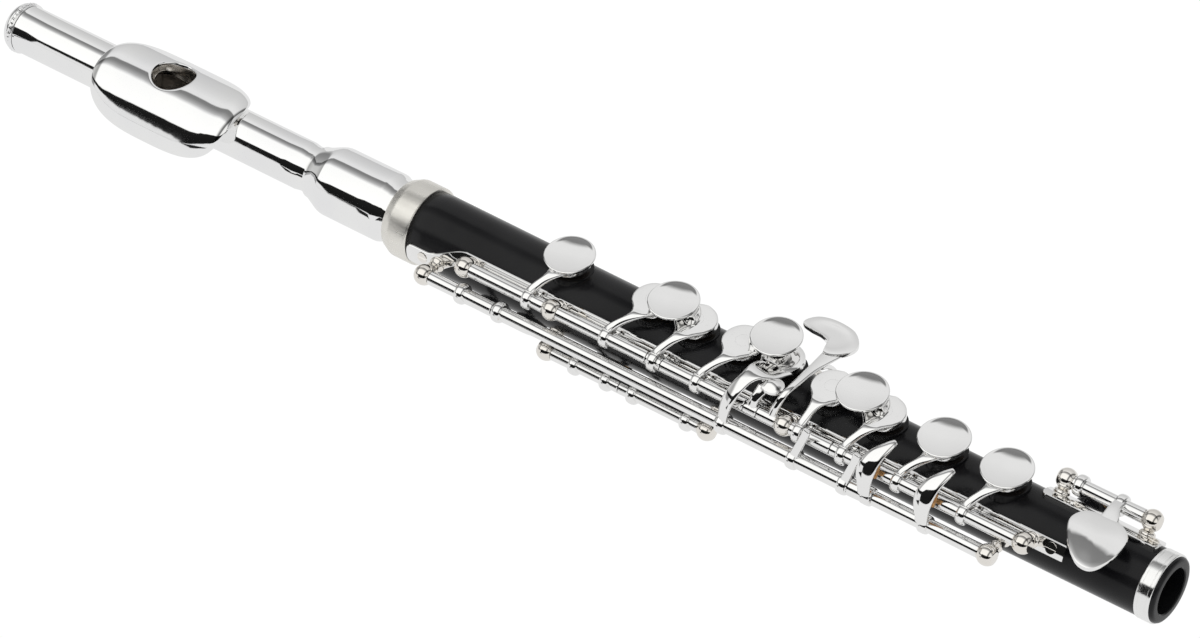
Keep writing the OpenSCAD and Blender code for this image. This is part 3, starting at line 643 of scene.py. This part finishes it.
def hole_tool(u, deg, y, _boss_r, _seat, hole_r):
    rows = [(2.0, 0), (2.0, hole_r - 0.02), (12, hole_r - 0.02), (12, 0)]
    if deg == TOP_DEG:
        return moved(lathe(rows, 48), u, y, 0)
    return out(lathe(rows, 48), u, deg)


cuts = [("DIFFERENCE", cutter(hole_tool(*b))) for b in bosses]
piece("body_skin", body_part(), BLACK, "body", "body_tube", sharp=32, booleans=cuts)
for i, b in enumerate(bosses):
    piece(f"tone_hole_seat_{i + 1}", boss_tool(*b), BLACK, "body", sharp=50)

ring_rows = [(116.7, 8), (116.7, 8.2), (116.85, 8.34), (117.3, 8.55), (118.1, 8.95), (118.5, 9.15),
             (118.9, 9.27), (119.3, 9.3), (121.5, 9.3), (123.7, 9.3), (124.0, 9.27), (124.2, 9.1), (124.2, 8)]
piece("body_ring_skin", along(lathe(ring_rows, 128, loop=True)), SATIN, "body", "body_ring", sharp=40)

foot_rows = [(313.6, 7.1), (313.6, 7.72), (313.7, 7.82), (313.85, 7.85), (314.3, 7.85), (314.36, 7.78),
             (314.44, 7.78), (314.5, 7.85), (316.2, 7.85), (316.26, 7.78), (316.34, 7.78), (316.4, 7.85),
             (316.85, 7.85), (317.0, 7.8), (317.1, 7.68), (317.1, 7.1)]
foot_silver = metal("foot_silver", (0.95, 0.95, 0.94), (0.9, 0.9, 0.89), 0.12, turned=2600)
piece("foot_ring_skin", along(lathe(foot_rows, 128, loop=True)), foot_silver, "body", "foot_ring", sharp=40)


def strap(rows, t=RIB_T, edge=0.28):
    """A strap on the body from rows of [u, middle angle, half width in mm], with bevelled edges."""
    rings = []
    for u, mid, half in rows:
        r = body_r(u)
        low, high = r + 0.01, r + t
        cut = min(edge, half * 0.45)
        marks = [(-half, low), (-half, high - cut), (-half + cut * 0.4, high - cut * 0.35),
                 (-half + cut, high), (-half * 0.33, high), (half * 0.33, high), (half - cut, high),
                 (half - cut * 0.4, high - cut * 0.35), (half, high - cut), (half, low),
                 (half * 0.33, low), (-half * 0.33, low)]
        ring = []
        for w, rr in marks:
            a = math.radians(mid) + w / (r + t)
            ring.append([u, rr * math.cos(a), rr * math.sin(a)])
        rings.append(np.array(ring))
    return rings_part(rings)


def ease(x):
    x = min(max(x, 0.0), 1.0)
    return x * x * (3 - 2 * x)


rib_rows = []
for u in np.concatenate([124.85 + 2.95 * (1 - np.cos(np.linspace(0.08, math.pi / 2, 10))),
                         np.linspace(128.4, 142, 34), np.linspace(144, 296.2, 70), [296.4]]):
    mid = 184.5 + (153.5 - 184.5) * ease((u - 130.0) / 10.5)
    half = 2.75 - 0.85 * ease((u - 131) / 8)
    if u < 127.8:
        half = 2.75 * max(1 - ((127.8 - u) / 2.95) ** 5, 0.02) ** 0.2
    if u > 296.3:
        half -= 0.15
    rib_rows.append((u, mid, half))
piece("main_rib_skin", strap(rib_rows), KEY, "body", "main_rib", sharp=25)

plate_rows = []
for u in np.concatenate([284.7 + 1.2 * (1 - np.cos(np.linspace(0.1, math.pi / 2, 7))),
                         np.linspace(287, 311.6, 12),
                         311.7 + 1.2 * np.sin(np.linspace(0.1, math.pi / 2 - 0.1, 7))]):
    half = 2.8
    for end, sign in ((285.9, -1), (311.7, 1)):
        over = (u - end) * sign
        if over > 0:
            half = 1.6 + math.sqrt(max(1.2 ** 2 - over ** 2, 0.0))
    plate_rows.append((u, 64.5, half))
piece("e_flat_plate_skin", strap(plate_rows), KEY, "body", "e_flat_plate", sharp=25)

post_sets = {"main_posts": [(u, MAIN, RIB_T) for u in (142.7, 166.6, 228.4, 288.5)],
             "outer_posts": [(133.6, OUTER, RIB_T), (282, OUTER, 0)],
             "thumb_posts": [(u, THUMB, 0) for u in (164.8, 208.1)],
             "e_flat_posts": [(u, E_FLAT, RIB_T) for u in (287.4, 308.3)],
             "g_sharp_posts": [(u, G_SHARP, 0) for u in (220.4, 236.6)]}
for node, rows in post_sets.items():
    piece(node + "_turned", join(*[post(*row) for row in rows]), NICKEL, "body", node, sharp=40)

# ---------------------------------------------------------------- finger keys
def leaf_arm(hub, cup_u, y0=0.0, z_top=STACK - 0.33, r=CUP_R - 0.02):
    """An arm that leaves its collar as a narrow neck and flares into the cup's own outline."""
    rings = []
    for y in np.concatenate([np.linspace(-11.2, -3.5, 24), np.linspace(-3.3, r - 0.04, 24)]):
        x = min((y + 11.2) / 6.6, 1.0)
        half = math.sqrt(max(r * r - y * y, 0.01))
        if y < -3.4:
            half = 1.0 + 2.28 * max((y + 8.6) / 5.2, 0.0) ** 2.33
        z = 7.0 + (z_top - 7.0) * ease(0.12 + x * 0.95)
        sec = section(2 * half, 1.7 - 0.9 * x, 2.2 + 2.8 * ease((half - 1.1) / 2), 28)
        rings.append(np.column_stack([hub + (cup_u - hub) * ease(x) + sec[:, 0],
                                      np.full(28, y + y0 * ease(x)), z + sec[:, 1]]))
    return rings_part(rings)


def finger_key(name, u0, u1, hub, cup_u, extra=(), y0=0.0):
    parts = [tube(MAIN, u0 + 0.06, u1 - 0.06, collars=[hub]), leaf_arm(hub, cup_u, y0),
             moved(cup_wall(), cup_u, y0, SEAT + PAD_GAP)]
    parts += list(extra)
    piece(name + "_forged", swing(join(*parts), MAIN, OPEN), KEY, name, name, sharp=42)
    pad = moved(pad_part(CUP_R), cup_u, y0, SEAT + PAD_GAP)
    make_pad(name.replace("_key", "_pad"), swing(pad, MAIN, OPEN), name)


def stem(u, y, z0, z1, w=2.6, l=3.2):
    """A short rounded pillar under a raised touch."""
    rings = [np.column_stack([section(l * k, w * k, 3.5, 24) + [u, y], np.full(24, z)])
             for z, k in ((z0, 1.1), (z0 + 0.2, 1.0), (z1, 1.0), (z1 + 0.15, 1.15))]
    return rings_part(rings)


finger_key("c_key", 144.5, 164.8, 160.5, 163.7, [disc_touch(163.7, 0, STACK)])
finger_key("b_flat_key", 168.4, 192.6, 181.6, 186.3)
finger_key("a_key", 192.6, 196.5, 194.4, 197.6,
           [disc_touch(191.6, 0.3, STACK + 1.3, belly=0.85), stem(196.1, 0.3, STACK - 0.3, STACK + 1.4)])
finger_key("g_key", 196.5, 218.4, 205.9, 209.8,
           [disc_touch(216.8, 3, STACK + 2.2, belly=1.3),
            stem(212.3, 1.8, STACK - 0.3, STACK + 2.3, 3.4, 2.6)], y0=0.4)
finger_key("f_sharp_key", 230.2, 240.7, 232.4, 233.3)
finger_key("f_key", 240.7, 250.2, 243.6, 246.5,
           [disc_touch(240.7, 0.5, STACK + 1.3, belly=0.85), stem(245.0, 0.5, STACK - 0.3, STACK + 1.4)])
finger_key("e_key", 250.2, 264.2, 257.6, 261.7, [disc_touch(261.7, 0, STACK)])
finger_key("d_key", 264.2, 286.7, 274, 277.4, [disc_touch(277.4, 0, STACK)])

# ---------------------------------------------------------------- outer line
ARCH, ARCH_R, TOUCH_ARC, TOUCH_ARC_R = (-4.2, 1.8), 10.2, (-5.5, 3.0), 9.9
CORK_ARC_R = 8.95
D_TOUCH, DS_TOUCH = 251.8, 266.3
LOW_HUB, LOW_START = 214.8, -14.8
turn = math.radians(-23)
low_rows = []
for k, deg in enumerate(np.linspace(176, 78, 15)):
    a = math.radians(deg)
    ly = ARCH[0] + ARCH_R * math.cos(a) - LOW_START
    z = ARCH[1] + ARCH_R * math.sin(a)
    share = k / 14
    z -= 1.35 * ease((share - 0.72) / 0.28)
    w = 2.9 + 0.7 * math.sin(share * math.pi) + 3.9 * ease((share - 0.6) / 0.4)
    low_rows.append([LOW_HUB + ly * math.sin(-turn), LOW_START + ly * math.cos(turn), z, w,
                     1.45 - 0.5 * share])
low_rows.append([LOW_CUP + 0.3, -1.2, STACK - 0.35, 8.2, 0.8])
low_parts = [tube(OUTER, 213.46, 247.54, r=1.85, collars=[LOW_HUB, 233.2, 246.2], cr=2.4, bore=1.34),
             sweep(low_rows, power=2.6, side=(math.cos(turn), math.sin(turn), 0.0), steps=48),
             moved(cup_wall(), LOW_CUP, LOW_Y, SEAT + PAD_GAP),
             sweep([[233.2, -14.8, 0.9, 2.2, 1.2], [234.0, -14.3, 3.4, 1.9, 1.1],
                    [235.1, -13.5, 6.6, 1.8, 1.05], [236.0, -12.8, 9.4, 1.8, 1.0]], power=4),
             sweep([[246.2, -14.8, 0.9, 2.2, 1.2], [247.0, -14.3, 3.4, 1.9, 1.1],
                    [248.0, -13.5, 6.6, 1.8, 1.05], [248.8, -12.8, 9.6, 1.8, 1.0]], power=4)]
piece("low_g_key_forged", swing(join(*low_parts), OUTER, LOW_OPEN), KEY, "low_g_key", "low_g_key", sharp=42)
low_pad = moved(pad_part(CUP_R), LOW_CUP, LOW_Y, SEAT + PAD_GAP)
make_pad("low_g_pad", swing(low_pad, OUTER, LOW_OPEN), "low_g_key")


def trill_blade(u):
    """A slender leaf that rises from the rod and curls over the main line, its tip toward the foot."""
    rows = []
    for deg, shift, w, t in ((187, 0.0, 3.0, 1.6), (178, 0.0, 3.2, 1.6), (169, -0.2, 3.7, 1.6),
                             (159, -0.35, 4.3, 1.6), (149, -0.3, 4.5, 1.6), (139, 0.1, 4.2, 1.6),
                             (129, 0.8, 3.5, 1.55), (120, 1.6, 2.8, 1.5), (112, 2.3, 2.1, 1.4),
                             (106, 2.8, 1.4, 1.1)):
        a = math.radians(deg)
        rows.append([u + shift, TOUCH_ARC[0] + TOUCH_ARC_R * math.cos(a),
                     TOUCH_ARC[1] + TOUCH_ARC_R * math.sin(a), w, t])
    return sweep(rows, power=1.9, steps=44, n=32)


def trill_arm(u, cup_u):
    """The arm that goes under the body from the rod, with the cup at its end."""
    return join(sweep([[u, -14.0, -1.2, 2.4, 1.5], [u + (cup_u - u) * 0.4, -11.2, -4.4, 2.1, 1.2],
                       [cup_u, -7.6, -8.4, 3.0, 1.1], [cup_u, -6.1, -9.6, 4.2, 0.9]], power=3.2),
                at_seat(cup_wall(TRILL_CUP_R), cup_u, TRILL_DEG, TRILL_SEAT))


def touch_cork(u):
    """The cork glued under a trill touch."""
    rows = []
    for deg in (160, 154, 148, 142):
        a = math.radians(deg)
        rows.append([u, TOUCH_ARC[0] + CORK_ARC_R * math.cos(a), TOUCH_ARC[1] + CORK_ARC_R * math.sin(a),
                     2.9, 0.9])
    return sweep(rows, power=5, steps=14)


d_trill = [tube(OUTER, 153.06, 213.3, collars=[154.6]), tube(OUTER, 213.32, 247.68, r=1.28),
           tube(OUTER, 247.7, 253.5, r=1.95, collars=[252.2], cr=2.1), trill_blade(D_TOUCH),
           trill_arm(154.6, D_TRILL_CUP)]
piece("d_trill_forged", join(*d_trill), KEY, "d_trill", "d_trill", sharp=42)
ds_trill = [tube(OUTER, 135.46, 152.9, collars=[144.3], bore=0.82),
            tube(OUTER, 253.7, 280.14, bore=0.82, collars=[266.6], cr=2.1), trill_blade(DS_TOUCH),
            trill_arm(144.3, DS_TRILL_CUP)]
piece("d_sharp_trill_forged", join(*ds_trill), KEY, "d_sharp_trill", "d_sharp_trill", sharp=42)
for name, u, cup_u, body in (("d_trill", D_TOUCH, D_TRILL_CUP, "d_trill"),
                             ("d_sharp", DS_TOUCH, DS_TRILL_CUP, "d_sharp_trill")):
    make_pad(name + "_pad", at_seat(pad_part(TRILL_CUP_R), cup_u, TRILL_DEG, TRILL_SEAT), body)
    piece(name + "_cork_cut", touch_cork(u + 0.6), CORK, body, name + "_cork")

# ---------------------------------------------------------------- thumb keys
thumb_touch = [[-6, -9], [-3, -9.6], [1, -9.4], [3.4, -7], [3.3, -3.5], [1, -1.6], [-3, -1.5], [-6, -3.5]]
thumb = [tube(THUMB, 166.66, 184.94, collars=[172.9, 181.5]),
         sweep([[172.9, -10.0, -9.2, 2.4, 1.4], [173.6, -7.6, -9.9, 2.1, 1.1],
                [175.2, -3, -10.3, 3.4, 0.9]], power=3.2),
         sweep([[181.5, -10.0, -9.2, 2.4, 1.4], [180.8, -7.6, -9.9, 2.1, 1.1],
                [179.0, -3, -10.3, 3.4, 0.9]], power=3.2),
         at_seat(cup_wall(), THUMB_CUP, THUMB_DEG, SIDE_SEAT),
         out(moved(plate(thumb_touch, 1.2, dish=0.25), 0, 0, SIDE_SEAT + CUP_T - 0.15), THUMB_CUP, THUMB_DEG)]
piece("b_thumb_forged", swing(join(*thumb), THUMB, THUMB_OPEN), KEY, "b_thumb", "b_thumb", sharp=42)
thumb_pad = at_seat(pad_part(CUP_R), THUMB_CUP, THUMB_DEG, SIDE_SEAT)
make_pad("b_thumb_pad", swing(thumb_pad, THUMB, THUMB_OPEN), "b_thumb")
flat_touch = [[0.2, 0], [0.2, 4.5], [1.6, 8.4], [4.2, 9], [7, 8.2], [8.2, 4.5], [8.2, 1], [6, -0.2],
              [2.4, -0.2]]
b_flat_thumb = [tube(THUMB, 185.06, 206.24, collars=[188.7, 203]),
                sweep([[188.7, -10.0, -9.3, 2.4, 1.4], [188.7, -6.5, -10.4, 2.3, 1.2],
                       [188.6, -1.5, -12.2, 3.6, 1.0]], power=3.2),
                moved(plate(flat_touch, 1.2, dish=0.25), 184.2, -2, -12.9),
                sweep([[203, -10.5, -6.4, 2.1, 1.1], [203, -9.6, -5.0, 1.9, 1.0],
                       [203, -8.9, -4.0, 1.6, 0.9]], power=4)]
piece("b_flat_thumb_forged", swing(join(*b_flat_thumb), THUMB, THUMB_OPEN), KEY, "b_flat_thumb",
      "b_flat_thumb", sharp=42)

# ---------------------------------------------------------------- levers and little-finger keys
blob = plate([[2.8 * math.cos(t), 2.4 * math.sin(t) * (1 + 0.08 * math.cos(t))]
              for t in np.linspace(0, 2 * math.pi, 13)[:-1]], 1.0, crown=0.95, edge=0.4)
b_lever = [tube(MAIN, 218.46, 221.74), moved(swing(blob, (0, 0), 4), 222.7, -7.6, 10.2),
           sweep([[220.1, -11.4, 6.4, 2.4, 1.2], [220.5, -10.6, 8.4, 2.2, 1.1],
                  [221.3, -9.0, 10.5, 2.8, 1.0]], power=3.2)]
piece("b_flat_lever_forged", join(*b_lever), KEY, "b_flat_lever", "b_flat_lever", sharp=42)

wing = [[226.2, 5.8], [228.6, 6.2], [230.6, 8.4], [231.4, 10.8], [230.6, 13], [228.2, 15.2], [225, 16],
        [221.6, 15.9], [218.8, 14.8], [217.2, 12.6], [217.4, 11], [219.5, 10.4], [222.6, 10.2], [225, 9]]
g_lever = [tube(MAIN, 221.86, 226.54),
           sweep([[225.2, -11.2, 6.3, 2.0, 1.3], [225.8, -10.3, 8.8, 1.8, 1.2], [226.6, -8.6, 11.2, 1.6, 1.1],
                  [227, -5.5, 11.9, 1.8, 1.2], [227.1, 0, 11.95, 2.2, 1.2], [227.4, 4.0, 12.0, 3.2, 1.1],
                  [227.9, 8.2, 12.1, 4.4, 0.9]], power=2.2, steps=44),
           moved(plate(wing, 1.15, dish=0.22, rim=1.1, edge=0.3, n=112), 0, 0, 11.72)]
piece("g_sharp_lever_forged", join(*g_lever), KEY, "g_sharp_lever", "g_sharp_lever", sharp=42)
arc_rows = []
for deg in np.linspace(-4, 67, 9):
    a = math.radians(deg)
    arc_rows.append([226.5, 10.8 * math.cos(a), 10.8 * math.sin(a), 2.2, 1.0])
g_key_low = [tube(G_SHARP, 222.26, 234.74), sweep(arc_rows, power=4),
             sweep([[G_SHARP_CUP, 11.0, -2.2, 2.6, 1.4], [G_SHARP_CUP, 10.4, -3.6, 2.8, 1.2],
                    [G_SHARP_CUP, 9.4, -5.2, 4.2, 0.9]], power=3.4),
             at_seat(cup_wall(), G_SHARP_CUP, G_SHARP_DEG, SIDE_SEAT)]
piece("g_sharp_key_forged", join(*g_key_low), KEY, "g_sharp_key", "g_sharp_key", sharp=42)
make_pad("g_sharp_pad", at_seat(pad_part(CUP_R), G_SHARP_CUP, G_SHARP_DEG, SIDE_SEAT), "g_sharp_key")

leaf = [[295.6, -1.8], [297.2, -0.2], [300.5, 0.3], [304.5, 0.2], [307.2, -1.2], [308.4, -3.6],
        [308.5, -7.5], [307.6, -11], [306, -13.4], [303.8, -13.8], [301.5, -12.8], [298, -9.6],
        [295.6, -6], [295, -3.8]]
e_touch = moved(plate(leaf, 1.3, crown=0.85, edge=0.42, n=112), 0, 0, -0.7)
e_touch = moved(swing(e_touch, (0, 0), 7), 0, 0, 10.9)
e_key_parts = [tube(E_FLAT, 289.26, 306.44, collars=[290.9, 300.7]), e_touch,
               sweep([[300.7, 6.4, 10.6, 2.6, 1.4], [301.0, 3.4, 11.2, 2.6, 1.2], [301.8, 0.4, 11.1, 4.0, 1.0],
                      [302, -1.8, 10.8, 5.0, 0.7]], power=3.2),
               sweep([[290.9, 7.6, 9.4, 2.6, 1.4], [291.6, 9.3, 7.3, 2.4, 1.2],
                      [293.4, 10.2, 4.6, 4.6, 0.9]], power=3.2),
               at_seat(cup_wall(), E_FLAT_CUP, E_FLAT_DEG, SIDE_SEAT)]
piece("e_flat_key_forged", join(*e_key_parts), KEY, "e_flat_key", "e_flat_key", sharp=42)
make_pad("e_flat_pad", at_seat(pad_part(CUP_R), E_FLAT_CUP, E_FLAT_DEG, SIDE_SEAT), "e_flat_key")

# ---------------------------------------------------------------- carried-over CAD nodes
carried = {"stopper_screw": STEEL, "stopper_cork": CORK, "stopper_plates": SILVER, "tenon_cork": CORK,
           "main_steels": STEEL, "short_steels": STEEL, "trill_steel": STEEL, "rib_screws": NICKEL,
           "needle_springs": STEEL}
for node, mat in carried.items():
    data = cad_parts[node].data
    if not data.materials:
        data.materials.append(mat)
    for i in range(len(data.materials)):
        data.materials[i] = mat

# ---------------------------------------------------------------- stage
def math_node(nodes, links, operation, first, second):
    """A Math node; first and second are sockets or plain numbers."""
    node = nodes.new("ShaderNodeMath")
    node.operation = operation
    for socket, value in zip(node.inputs, (first, second)):
        if isinstance(value, (int, float)):
            socket.default_value = value
        else:
            links.new(value, socket)
    return node.outputs[0]


def direction_world():
    """A white studio in section: dim overhead, a bright front panel, a thin dark gap under it.

    Its brightness by direction places the dark lines that the metal shows from the main camera.
    """
    world = bpy.data.worlds.new("studio")
    bpy.context.scene.world = world
    world.use_nodes = True
    nodes, links = world.node_tree.nodes, world.node_tree.links
    coords = nodes.new("ShaderNodeTexCoord")
    split = nodes.new("ShaderNodeSeparateXYZ")
    links.new(coords.outputs["Generated"], split.inputs[0])
    # turns round the instrument: 0 is behind it, a half is overhead and 1 is in front
    angle = math_node(nodes, links, "ARCTAN2", split.outputs["Z"], split.outputs["Y"])
    turns = math_node(nodes, links, "MULTIPLY", angle, 1 / math.pi)
    stops = [(0, 0.56), (12, 0.6), (30, 0.64), (45, 0.7), (60, 0.8), (67, 0.8), (69.5, 0.2), (76, 0.23),
             (82, 0.34), (88, 0.5), (93, 0.8), (97, 1.04), (150, 1.08), (168, 0.8), (180, 0.78)]
    tones = ramp(nodes, links, turns,
                 [(deg / 180, (v, v, v * (1.0 if v < 1 else 0.985))) for deg, v in stops])

    # the dark gap under the front panel, taller toward the foot
    soft, dark = 1.2 / 180, 0.012
    gap_low = remap(nodes, links, split.outputs["X"], -0.565, -0.45, 155.5 / 180, 147.5 / 180)
    gap_high = remap(nodes, links, split.outputs["X"], -0.565, -0.505, 166.5 / 180, 181.5 / 180)
    above = remap(nodes, links, math_node(nodes, links, "SUBTRACT", turns, gap_low), 0, soft)
    below = remap(nodes, links, math_node(nodes, links, "SUBTRACT", gap_high, turns), 0, soft)
    gap = remap(nodes, links, math_node(nodes, links, "MULTIPLY", above, below), 0, 1, 1, dark)

    # the end walls, from the crown's at -1 to the foot's at 1
    ends = ((-1, 0.6), (-0.9, 0.4), (-0.84, 0.35), (-0.78, 1.0), (0.3, 1.0), (0.44, 0.22), (0.56, 0.15),
            (0.66, 0.8), (1, 0.9))
    walls = ramp(nodes, links, remap(nodes, links, split.outputs["X"], -1, 1),
                 [((x + 1) / 2, (v, v, v)) for x, v in ends])
    both = nodes.new("ShaderNodeMix")
    both.data_type, both.blend_type = "RGBA", "MULTIPLY"
    both.inputs["Factor"].default_value = 1.0
    links.new(tones.outputs["Color"], both.inputs["A"])
    links.new(walls.outputs["Color"], both.inputs["B"])
    back = nodes["Background"]
    links.new(both.outputs["Result"], back.inputs["Color"])
    links.new(gap, back.inputs["Strength"])


direction_world()


def glow_floor():
    """A pale floor below the object that glows evenly, so that it stays white from above."""
    mat = bpy.data.materials.new("pale_floor")
    mat.use_nodes = True
    nodes, links = mat.node_tree.nodes, mat.node_tree.links
    nodes.remove(nodes["Principled BSDF"])
    coords = nodes.new("ShaderNodeTexCoord")
    cloud = noise(nodes, links, coords, 3, 2)
    tone = ramp(nodes, links, cloud.outputs["Fac"], [(0.3, (0.995, 0.995, 0.995)), (0.7, (1, 1, 1))])
    seen, lit = nodes.new("ShaderNodeEmission"), nodes.new("ShaderNodeEmission")
    mix = nodes.new("ShaderNodeMixShader")
    seen.inputs["Strength"].default_value = 1.02
    lit.inputs["Strength"].default_value = 0.8
    # a dark strip of floor in front of the keys, seen in reflections and not by the camera
    place = nodes.new("ShaderNodeSeparateXYZ")
    links.new(coords.outputs["Object"], place.inputs[0])
    slant = math_node(nodes, links, "MULTIPLY", place.outputs["Y"], -0.6)
    station = math_node(nodes, links, "ADD", slant, place.outputs["X"])
    behind = remap(nodes, links, place.outputs["Y"], -0.28, -0.26)
    crownward = remap(nodes, links, station, -0.185, -0.195)
    footward = remap(nodes, links, station, -0.05, -0.04)
    outside = math_node(nodes, links, "MAXIMUM", behind, crownward)
    outside = math_node(nodes, links, "MAXIMUM", outside, footward)
    dimmed = ramp(nodes, links, outside, [(0.0, (0.02, 0.02, 0.02)), (1.0, (1, 1, 1))])
    path = nodes.new("ShaderNodeLightPath")
    links.new(tone.outputs["Color"], seen.inputs["Color"])
    links.new(dimmed.outputs["Color"], lit.inputs["Color"])
    links.new(path.outputs["Is Camera Ray"], mix.inputs["Fac"])
    links.new(lit.outputs[0], mix.inputs[1])
    links.new(seen.outputs[0], mix.inputs[2])
    links.new(mix.outputs[0], nodes["Material Output"].inputs["Surface"])
    mesh = bpy.data.meshes.new("floor")
    reach, z = 6.0, -0.06
    mesh.from_pydata([(-reach, -reach, z), (reach, -reach, z), (reach, reach, z), (-reach, reach, z)],
                     [], [[0, 1, 2, 3]])
    floor = bpy.data.objects.new("floor", mesh)
    mesh.materials.append(mat)
    bpy.context.scene.collection.objects.link(floor)


glow_floor()


def area(name, place, aim, size, power):
    data = bpy.data.lights.new(name, "AREA")
    data.size, data.energy = size, power
    obj = bpy.data.objects.new(name, data)
    obj.location = place
    obj.rotation_euler = (Vector(aim) - Vector(place)).to_track_quat("-Z", "Y").to_euler()
    obj.visible_glossy = False
    bpy.context.scene.collection.objects.link(obj)


area("soft_key", (-0.3, -0.6, 1.1), (-0.16, 0, 0), 0.8, 4.0)

camera_data = bpy.data.cameras.new("camera")
camera_data.sensor_width, camera_data.lens = 36.0, 150.8
camera_data.clip_start, camera_data.clip_end = 0.01, 20
camera = bpy.data.objects.new("camera", camera_data)
# the camera's own axes and its place, in metres
right, up, back = (0.79836, 0.60218, 0.00116), (-0.39338, 0.52008, 0.75814), (0.45593, -0.60572, 0.65210)
place = (0.35375, -0.66475, 0.71320)
camera.matrix_world = Matrix([[right[i], up[i], back[i], place[i]] for i in range(3)] + [[0, 0, 0, 1]])
bpy.context.scene.collection.objects.link(camera)
bpy.context.scene.camera = camera
bpy.context.scene.view_settings.view_transform = "Standard"
